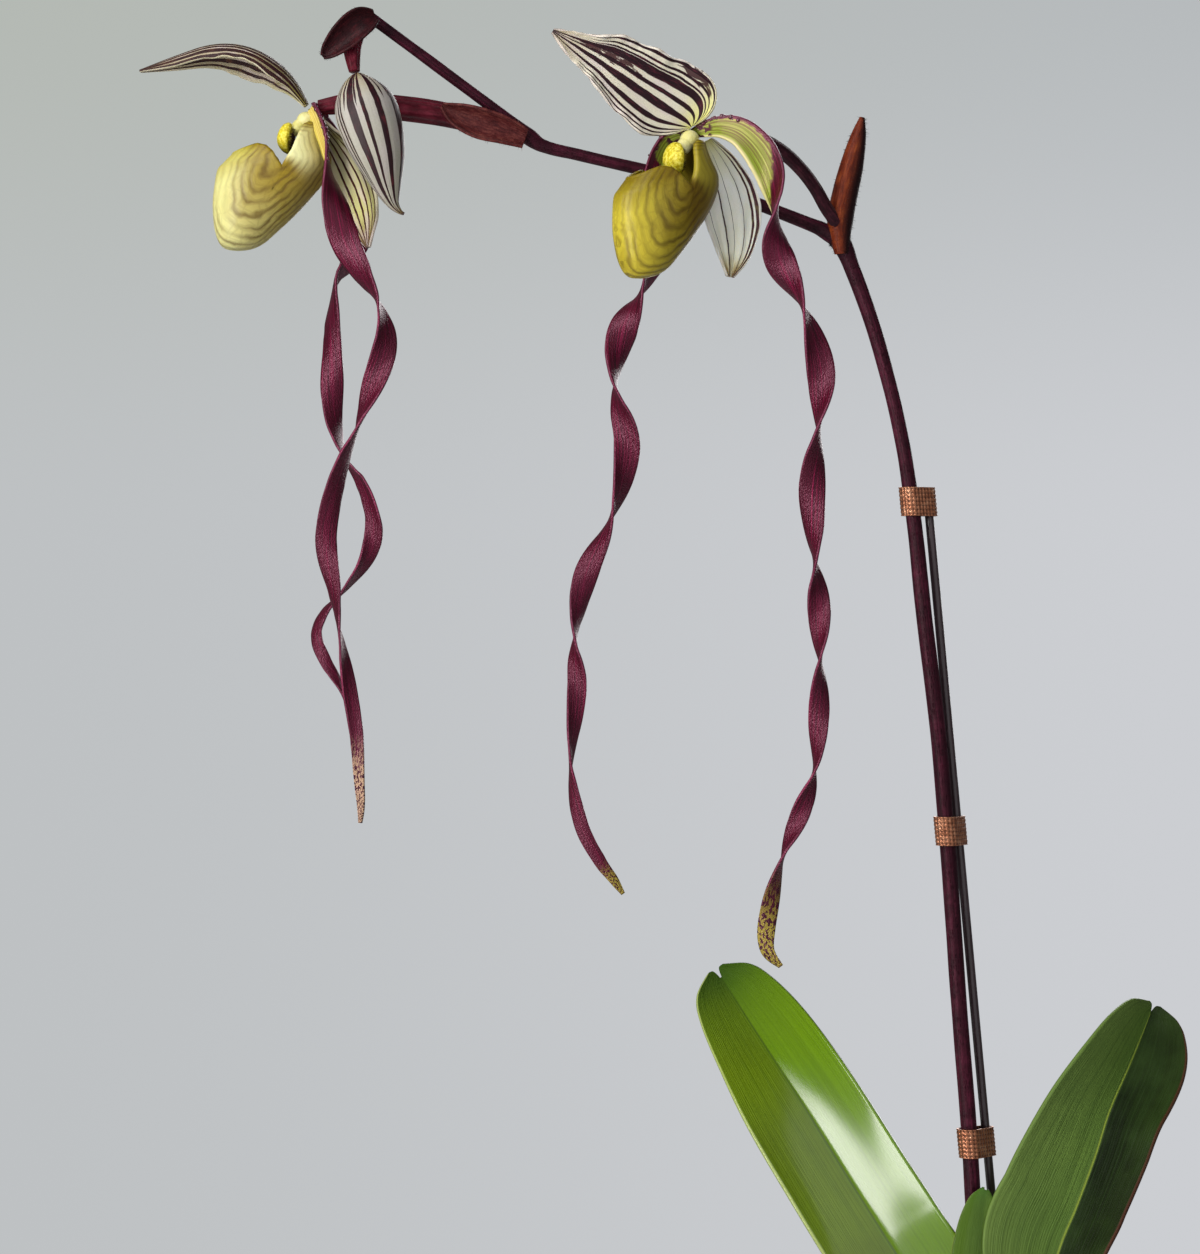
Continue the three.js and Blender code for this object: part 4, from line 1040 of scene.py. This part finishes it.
budShape = {
    "sides": 96, "steps": 110, "ribs": 2, "ribDepth": 0.02, "ridges": [(0.63, 0.5, 0.02), (0.13, 0.4, 0.02)],
    "rows": [
        [-158.9, -12.2, 427, 2.6], [-158.4, -12.6, 424.4, 9], [-157.4, -13, 420.6, 14],
        [-155.8, -13.5, 415.4, 15.4], [-153.3, -14, 407.2, 12.8], [-151.2, -14, 398.8, 6.6],
        [-149.9, -14, 395.0, 3.2], [-148.4, -14, 393.1, 1.4], [-147.2, -14, 392.4, 0.7],
    ],
}
finishPiece(stemGrid(budShape), "bud_fine", budTissue, "bud")
print("stem, ovaries and bud made")


bractLook = {"wall": 0.6, "hair": {"length": 0.8, "width": 0.05, "droop": 0.4, "lift": 0.25}}
# On bract_middle, darkSide paints shade on the side turned away from the light.
bractBrown = skinMaterial(
    "bractBrown", [(62, 14, 6), (110, 40, 14), (150, 72, 30)], 0.45, 0.06, darkSide=(0.62, 0.28, (30, 5, 6)))
bractDark = skinMaterial("bractDark", [(22, 2, 6), (42, 6, 12), (74, 20, 26)], 0.45, 0.06)
bractWarm = skinMaterial("bractWarm", [(44, 8, 12), (78, 28, 28), (118, 64, 56)], 0.45, 0.06)
bracts = {
    "bract_middle": {
        "skin": bractBrown, "columns": 40, "steps": 60, "roll": -95, "hairs": 500,
        "rows": [
            [-38.6, -2.7, 383.8, 2.5], [-38.9, -3.0, 387.4, 3.7], [-39.0, -3.4, 392.2, 4.9],
            [-37.8, -2.8, 398.7, 4.9], [-36.0, -2.2, 406.2, 4.4], [-34.4, -1.6, 413.4, 2.8],
            [-33.5, -1.2, 418, 0.6],
        ],
    },
    "bract_left": {
        "skin": bractWarm, "columns": 32, "steps": 50, "roll": 80, "hairs": 300,
        "rows": [
            [-117.6, -3.1, 412.2, 3.2], [-123, -3.4, 414.2, 4.6], [-129, -3.4, 415.9, 5.2],
            [-134.5, -3.0, 418.2, 3.8], [-138.4, -2.6, 420.8, 0.7],
        ],
    },
    "bract_bud": {
        "skin": bractDark, "columns": 32, "steps": 50, "roll": 70, "hairs": 300,
        "rows": [
            [-154.6, -10.4, 441.6, 1.8], [-158.0, -12.4, 439.6, 4.4], [-161.8, -12.8, 436.2, 4.4],
            [-165.6, -12.4, 432.9, 2.6], [-167.4, -12.0, 431.4, 0.6],
        ],
    },
}
for name, shape in bracts.items():
    piece = finishPiece(bladeGrid(shape), name + "_fine", shape["skin"], name)
    thickness(piece, bractLook["wall"])
    hairPiece(piece, name, shape["hairs"], bractLook["hair"], shape["skin"])
print("bracts made")


plainLeaf = {"roughness": 0.5, "specular": 0.12, "tipShare": 0.85, "coatRoughness": 0.14, "coatIndex": 1.5}


# Sides are tones across the leaf, with painted light and shade on the two halves of a folded leaf;
# waxed is the stretch of its length that shines, from and to.
def leafMaterial(name, ownLook):
    look = {**plainLeaf, **ownLook}
    material, tree, shader = newMaterial(name, look["roughness"], look["specular"])
    place, across, along = surfacePlace(tree)
    here = objectPlace(tree)
    signed = calc(tree, "MULTIPLY_ADD", across, 2.0, -1.0)
    veins = grainAt(tree, place, 46, 2.5, 2.0)
    streaks = grainAt(tree, place, 90, 5, 3.0, 0.6)
    patch = noiseAt(tree, here, 60.0)
    tone = laid(tree, ramp(tree, across, look["sides"]), look["patch"], patch, 0.3, 0.7, 0.0, 0.3)
    tone = laid(tree, tone, look["vein"], veins, 0.45, 0.7, 0.0, 0.3)
    tone = laid(tree, tone, look["tip"], along, 0.62, 0.98, 0.0, look["tipShare"])
    tone = laid(tree, tone, look["rib"], calc(tree, "ABSOLUTE", signed), 0.0, 0.035, 0.8, 0.0)
    tone = laid(tree, tone, look["margin"], times(tree, signed, look["marginSide"]), 0.965, 0.995, 0.0, 0.7)
    paint(tree, shader, tone)
    fine = noiseAt(tree, here, 700.0, 2.0)
    relief = plus(tree, times(tree, veins, 0.6), times(tree, fine, 0.15))
    setBump(tree, shader, plus(tree, relief, times(tree, streaks, 1.3)), 0.45, 0.0007)
    put(tree, shader.inputs["Coat Weight"], look["coat"])
    if "waxed" in look:
        low, high = look["waxed"]
        waxed = times(tree, ease(tree, along, low - 0.12, low), ease(tree, along, high + 0.12, high))
        put(tree, shader.inputs["Coat Weight"], times(tree, waxed, look["coat"]))
    shader.inputs["Coat Roughness"].default_value = look["coatRoughness"]
    shader.inputs["Coat IOR"].default_value = look["coatIndex"]
    return material


leafWall = 0.9
leaves = {
    "leaf_left": {
        "look": {
            # The tones of its two halves hold painted light on one half and painted shade on the other.
            "sides": [(0.0, (96, 132, 0)), (0.47, (88, 122, 0)), (0.53, (84, 106, 0)), (1.0, (98, 120, 4))],
            "patch": (104, 132, 2), "vein": (62, 88, 0), "rib": (48, 70, 4), "margin": (176, 190, 110),
            "marginSide": 1, "tip": (34, 62, 6), "coat": 1.0, "coatIndex": 1.58, "waxed": (0.34, 0.56),
            "roughness": 0.6,
        },
        "columns": 48, "steps": 120, "roll": 12, "fold": 20, "ruffle": 0.8, "waves": 2,
        "notch": 3.0, "seed": 1,
        "rows": [
            [-6.6, 5, 74, 3.2], [-8.0, 6, 90, 4.6], [-13.2, 9, 109.5, 10.5], [-19.3, 13, 124, 16.0, 16.4],
            [-26.7, 16, 136, 16.4, 16.6], [-34.6, 20, 148.4, 16.2, 16.4], [-46.5, 27, 167.4, 15.8, 16.0],
            [-56.2, 34, 182.1, 14.6, 13.8], [-63.0, 39.5, 192.4, 11.8, 11.4], [-66.4, 42, 197.6, 8.6, 8.4],
            [-68.6, 43.5, 201, 2.4],
        ],
    },
    "leaf_right": {
        "look": {
            # The near-black half is painted shade on the half turned away from the light.
            "sides": [(0.0, (24, 34, 8)), (0.47, (8, 20, 2)), (0.53, (90, 118, 48)), (1.0, (106, 130, 62))],
            "patch": (66, 92, 40), "vein": (42, 64, 26), "rib": (134, 150, 52), "margin": (84, 44, 34),
            "marginSide": -1, "tip": (44, 62, 22), "tipShare": 0.3, "coat": 0.03, "roughness": 0.5,
        },
        "columns": 48, "steps": 120, "roll": 12, "fold": 32, "ruffle": 0.8, "waves": 2,
        "notch": 2.0, "seed": 4,
        "rows": [
            [5.2, -3, 76, 3.2, 3.2, 0], [5.2, -3, 92, 4.6, 4.6, 4], [9.4, -3, 112, 10, 12, 12],
            [15.3, -2, 134, 15.2, 20.2, 22], [20.6, 1, 146, 16.2, 20.2, 22], [25.7, 5, 158, 16.4, 18.8, 18],
            [29.8, 10, 168.5, 16, 16.8, 10], [35.8, 17, 179.4, 14.4, 14.6, 2],
            [40.0, 22.5, 187, 11, 10.8, 0], [42.0, 25, 190.8, 7.6, 7.4, 0],
            [43.3, 26.5, 193.3, 2.2, 2.2, 0],
        ],
    },
    "leaf_centre": {
        "look": {
            "sides": [
                (0.0, (70, 98, 22)), (0.2, (104, 132, 50)), (0.45, (62, 90, 20)), (1.0, (76, 104, 28)),
            ],
            "patch": (84, 110, 32), "vein": (56, 84, 18), "rib": (72, 100, 26), "margin": (130, 138, 64),
            "marginSide": 1, "tip": (64, 104, 30), "coat": 0.2,
        },
        "columns": 24, "steps": 70, "roll": -25, "seed": 7,
        "rows": [
            [-2.0, -6.8, 78, 2.2], [-2.8, -6.8, 95, 4.2], [-5.0, -6.2, 114, 6.0], [-5.8, -5.8, 131, 6.2],
            [-5.0, -5.6, 141, 5.3], [-4.2, -5.6, 147.5, 3.6], [-3.6, -5.6, 150.4, 1.6],
            [-3.4, -5.6, 151, 0.6],
        ],
    },
}
for name, shape in leaves.items():
    tissue = leafMaterial(name + "_tissue", shape["look"])
    leaf = finishPiece(bladeGrid(shape), name + "_fine", tissue, name)
    thickness(leaf, leafWall)
print("leaves made")


stakeShape = {
    "foot": (9.2, 5.4, 42), "top": (-17.2, 1.7, 325.7), "diameter": 2.2, "sides": 24, "rounding": 0.4,
}


def stakeMaterial():
    material, tree, shader = newMaterial("stakeCoat", 0.28, 0.5)
    here = objectPlace(tree)
    grain = noiseAt(tree, stretched(tree, here, 1500, 1500, 60), 1.0, 3.0, 0.6)
    paint(tree, shader, ramp(tree, grain, [(0.3, (40, 28, 31)), (0.6, (60, 46, 50)), (0.8, (88, 74, 78))]))
    setBump(tree, shader, grain, 0.3, 0.0002)
    return material


stakeFoot, stakeTop = Vector(stakeShape["foot"]), Vector(stakeShape["top"])
stakeRadius = stakeShape["diameter"] / 2
stakeMesh = bmesh.new()
axis = stakeTop - stakeFoot
bmesh.ops.create_cone(
    stakeMesh, cap_ends=True, segments=stakeShape["sides"], radius1=stakeRadius, radius2=stakeRadius,
    depth=axis.length, matrix=Matrix.Translation((stakeFoot + stakeTop) / 2) @ standing(axis))
caps = [face for face in stakeMesh.faces if len(face.verts) > 4]
endEdges = [edge for edge in stakeMesh.edges if any(face in caps for face in edge.link_faces)]
bmesh.ops.bevel(
    stakeMesh, geom=endEdges, offset=stakeShape["rounding"], segments=3, profile=0.5, affect="EDGES",
    material=-1)
bmesh.ops.transform(stakeMesh, matrix=Matrix.Scale(mm, 4), verts=stakeMesh.verts)
finishPiece(stakeMesh, "stake_fine", stakeMaterial(), "stake")

tieShape = {
    "wall": 0.8, "fineWall": 0.5, "height": 7.2, "gap": 0.3, "around": 216, "rows": 56, "weave": 0.13,
    "knitAround": 24, "knitUp": 7,
}
tieHeights = {"tie_top": 322.1, "tie_middle": 239.8, "tie_bottom": 161.8}


def tieMaterial():
    material, tree, shader = newMaterial("copperMesh", 0.3, 0.5)
    place, around, along = surfacePlace(tree)
    here = objectPlace(tree)
    tarnish = noiseAt(tree, here, 500.0, 3.0, 0.6)
    rising = times(tree, along, math.pi * tieShape["knitUp"])
    turning = times(tree, around, math.pi * tieShape["knitAround"])
    first = calc(tree, "SINE", plus(tree, turning, rising))
    second = calc(tree, "SINE", minus(tree, turning, rising))
    knit = times(tree, first, second)
    colour = ramp(tree, tarnish, [(0.3, (132, 78, 52)), (0.55, (170, 112, 82)), (0.8, (212, 164, 132))])
    paint(tree, shader, laid(tree, colour, (70, 42, 34), knit, -0.6, 0.3, 0.75, 0.0))
    shader.inputs["Metallic"].default_value = 0.7
    wires = calc(tree, "SINE", times(tree, plus(tree, turning, rising), 4.0))
    setBump(tree, shader, wires, 0.3, 0.0001)
    return material


def stemCentreAt(height):
    low, high = 0.0, stemShape["tiedRows"]
    while high - low > 1e-4:
        middle = (low + high) / 2
        if rowAt(stemShape["rows"], middle)[2] < height:
            low = middle
        else:
            high = middle
    x, y, _, diameter = rowAt(stemShape["rows"], low)
    return Vector((x, y)), diameter / 2


# Even points round two circles of different size, as a tight band lies.
def bandPoints(first, firstRadius, second, secondRadius, count):
    outline, turns = [], 720
    circles = ((first, firstRadius), (second, secondRadius))
    for k in range(turns):
        angle = 2 * math.pi * k / turns
        normal = Vector((math.cos(angle), math.sin(angle)))
        reach = [(centre.dot(normal) + radius, centre + normal * radius) for centre, radius in circles]
        outline.append(max(reach, key=lambda pair: pair[0])[1])
    outline.append(outline[0])
    lengths = [0.0]
    for a, b in zip(outline, outline[1:]):
        lengths.append(lengths[-1] + (b - a).length)
    even, k = [], 0
    for i in range(count):
        wanted = lengths[-1] * i / count
        while lengths[k + 1] < wanted:
            k += 1
        share = (wanted - lengths[k]) / max(lengths[k + 1] - lengths[k], 1e-9)
        even.append(outline[k].lerp(outline[k + 1], share))
    return even


copperMesh = tieMaterial()
around, rows = tieShape["around"], tieShape["rows"]
spread = tieShape["gap"] + tieShape["wall"] / 2
lean = (stakeTop.x - stakeFoot.x) / (stakeTop.z - stakeFoot.z)
for name, height in tieHeights.items():
    onStake = stakeFoot.lerp(stakeTop, (height - stakeFoot.z) / (stakeTop.z - stakeFoot.z))
    stemCentre, stemRadius = stemCentreAt(height)
    band = bandPoints(stemCentre, stemRadius + spread, onStake.xy, stakeRadius + spread, around)
    middle = sum(band, Vector((0, 0))) / len(band)

    def place(u, v):
        point = band[round(u * around) % around]
        out = (point - middle).normalized()
        turning, rising = math.pi * tieShape["knitAround"] * u, math.pi * tieShape["knitUp"] * v
        point = point + out * tieShape["weave"] * math.sin(turning + rising) * math.sin(turning - rising)
        rise = (v - 0.5) * tieShape["height"]
        return Vector((point.x + lean * rise, point.y, height + rise))

    tieMesh = shapedGrid(around, rows, place)
    weld(tieMesh)
    tie = finishPiece(tieMesh, name + "_fine", copperMesh, name)
    thickness(tie, tieShape["fineWall"])
print("stake and ties made")


# The pot's outline is radius, height, from the middle of its underside round to that of its floor.
potShape = {
    "profile": [
        (0.2, 0), (38, 0), (39, 1), (51.5, 82), (55, 82), (55, 94), (54, 95), (50.5, 95), (38, 5), (0.2, 5),
    ],
    "steps": 128, "rounding": 0.7, "sharpest": 35,
}


def potMaterial():
    material, tree, shader = newMaterial("potGlaze", 0.5, 0.5)
    here = objectPlace(tree)
    speck = noiseAt(tree, here, 900.0, 2.0, 0.6)
    cloud = noiseAt(tree, here, 30.0, 3.0, 0.5)
    colour = ramp(tree, cloud, [(0.3, (92, 97, 100)), (0.7, (110, 115, 117))])
    paint(tree, shader, laid(tree, colour, (64, 68, 70), speck, 0.62, 0.72, 0.0, 0.6))
    setBump(tree, shader, plus(tree, speck, cloud), 0.2, 0.0003)
    return material


potMesh = bmesh.new()
corners = [potMesh.verts.new((radius * mm, 0, z * mm)) for radius, z in potShape["profile"]]
for first, second in zip(corners, corners[1:]):
    potMesh.edges.new((first, second))
bmesh.ops.spin(
    potMesh, geom=potMesh.verts[:] + potMesh.edges[:], cent=(0, 0, 0), axis=(0, 0, 1), angle=2 * math.pi,
    steps=potShape["steps"], use_merge=True)
weld(potMesh)
bmesh.ops.holes_fill(potMesh, edges=[edge for edge in potMesh.edges if edge.is_boundary], sides=0)
bmesh.ops.recalc_face_normals(potMesh, faces=potMesh.faces)
pot = finishPiece(potMesh, "pot_fine", potMaterial(), "pot")
rounding = pot.modifiers.new("rounding", "BEVEL")
rounding.width = potShape["rounding"] * mm
rounding.segments = 3
rounding.limit_method = "ANGLE"
rounding.angle_limit = math.radians(potShape["sharpest"])

barkShape = {
    "top": 85.0, "chips": 150, "spread": 41.0, "long": (8, 14), "wide": (6, 9), "thick": (2, 4), "tilt": 0.3,
    "bed": {"radius1": 37.4, "radius2": 48.4, "depth": 79}, "bedMiddle": 45.2, "roundness": 0.45,
    "rough": 0.12,
}


def barkMaterial():
    material, tree, shader = newMaterial("barkChips", 0.85, 0.3)
    here = objectPlace(tree)
    patch = noiseAt(tree, here, 90.0, 3.0, 0.6)
    grain = noiseAt(tree, stretched(tree, here, 300, 900, 900), 1.0, 4.0, 0.65)
    blend = plus(tree, times(tree, patch, 0.6), times(tree, grain, 0.4))
    colour = ramp(tree, blend, [(0.3, (58, 36, 24)), (0.5, (112, 72, 44)), (0.7, (158, 112, 74))])
    paint(tree, shader, colour)
    setBump(tree, shader, grain, 0.7, 0.0008)
    return material


barkMesh = bmesh.new()
bmesh.ops.create_cone(
    barkMesh, cap_ends=True, segments=64, **barkShape["bed"],
    matrix=Matrix.Translation((0, 0, barkShape["bedMiddle"])))
goldenTurn = math.pi * (3 - math.sqrt(5))
for index in range(barkShape["chips"]):
    ring = barkShape["spread"] * math.sqrt((index + 0.5) / barkShape["chips"])
    angle = index * goldenTurn
    size = Matrix.Diagonal((*(random.uniform(*barkShape[key]) for key in ("long", "wide", "thick")), 1))
    turned = Matrix.Rotation(random.uniform(0, math.pi), 4, "Z")
    tilted = Matrix.Rotation(random.uniform(-barkShape["tilt"], barkShape["tilt"]), 4, "X")
    height = barkShape["top"] + random.uniform(-0.6, 1.6)
    middle = Matrix.Translation((ring * math.cos(angle), ring * math.sin(angle), height))
    seedPlace = Vector((index * 3.1, 0, 0))
    for vert in bmesh.ops.create_icosphere(barkMesh, subdivisions=2, radius=1)["verts"]:
        blocky = [math.copysign(abs(value) ** barkShape["roundness"], value) for value in vert.co]
        blocky = Vector(blocky) * 0.5
        chipped = blocky + noise.noise_vector(blocky * 3 + seedPlace) * barkShape["rough"]
        vert.co = middle @ turned @ tilted @ size @ chipped
bmesh.ops.transform(barkMesh, matrix=Matrix.Scale(mm, 4), verts=barkMesh.verts)
finishPiece(barkMesh, "bark_medium_fine", barkMaterial(), "bark_medium", smooth=False)
print("pot and bark made")


floorShape = {"radius": 0.7, "sides": 128}


def floorMaterial():
    material, tree, shader = newMaterial("paleFloor", 0.8, 0.3)
    cloud = noiseAt(tree, objectPlace(tree), 6.0)
    paint(tree, shader, ramp(tree, cloud, [(0.3, (200, 203, 204)), (0.7, (210, 213, 214))]))
    return material


floorMesh = bmesh.new()
bmesh.ops.create_circle(floorMesh, cap_ends=True, segments=floorShape["sides"], radius=floorShape["radius"])
floorData = bpy.data.meshes.new("floor")
floorMesh.to_mesh(floorData)
floorMesh.free()
floorData.materials.append(floorMaterial())
floor = bpy.data.objects.new("floor", floorData)
bpy.context.scene.collection.objects.link(floor)

# The wall behind the plant is a little darker upwards and to the left, and lights the plant evenly.
wallLook = {
    "lowLeft": (190, 193, 195), "lowRight": (204, 206, 210), "highLeft": (180, 185, 179),
    "highRight": (182, 186, 188), "sides": (-0.18, 0.18), "heights": (0.02, 0.19),
    "light": (0.13, 0.135, 0.14, 1),
}
world = bpy.data.worlds.new("studio")
bpy.context.scene.world = world
world.use_nodes = True
worldTree = world.node_tree
background = worldTree.nodes["Background"]
direction = addNode(worldTree, "TexCoord", {}, output=0)
parts = worldTree.nodes.new("ShaderNodeSeparateXYZ")
worldTree.links.new(direction, parts.inputs[0])
lowTone = laid(worldTree, wallLook["lowLeft"], wallLook["lowRight"], parts.outputs[0], *wallLook["sides"])
highTone = laid(worldTree, wallLook["highLeft"], wallLook["highRight"], parts.outputs[0], *wallLook["sides"])
wallTone = laid(worldTree, lowTone, highTone, parts.outputs[2], *wallLook["heights"])
isSeen = addNode(worldTree, "LightPath", {}, output=0)
worldTree.links.new(mixed(worldTree, isSeen, wallLook["light"], wallTone), background.inputs[0])

lights = {
    "key": {"at": (-1.1, -0.92, 0.42), "size": (0.36, 1.4), "power": 19, "tone": (1.0, 0.98, 0.95)},
    "top": {"at": (-0.7, -0.7, 1.5), "size": (0.8, 0.8), "power": 10, "tone": (1.0, 0.99, 0.97)},
    "fill": {"at": (0.35, -1.7, 0.7), "size": (2.4, 2.4), "power": 13, "tone": (0.97, 0.98, 1.0)},
    "back": {"at": (0.3, 1.3, 0.7), "size": (0.9, 0.9), "power": 9, "tone": (1.0, 1.0, 1.0)},
}
aim = Vector((-0.09, 0, 0.3))
for name, lamp in lights.items():
    data = bpy.data.lights.new(name, "AREA")
    data.shape = "RECTANGLE"
    data.size, data.size_y = lamp["size"]
    data.energy = lamp["power"]
    data.color = lamp["tone"]
    light = bpy.data.objects.new(name, data)
    light.location = lamp["at"]
    light.rotation_euler = (aim - light.location).to_track_quat("-Z", "Y").to_euler()
    bpy.context.scene.collection.objects.link(light)

view = {"at": (-0.099, -0.9, 0.29075), "sensor": 36, "seenWidth": 0.3135}
cameraData = bpy.data.cameras.new("camera")
cameraData.lens = view["sensor"] * -view["at"][1] / view["seenWidth"]
cameraData.sensor_width = view["sensor"]
camera = bpy.data.objects.new("camera", cameraData)
camera.location = view["at"]
camera.rotation_euler = (math.pi / 2, 0, 0)
bpy.context.scene.collection.objects.link(camera)
bpy.context.scene.camera = camera
bpy.context.scene.view_settings.view_transform = "Standard"
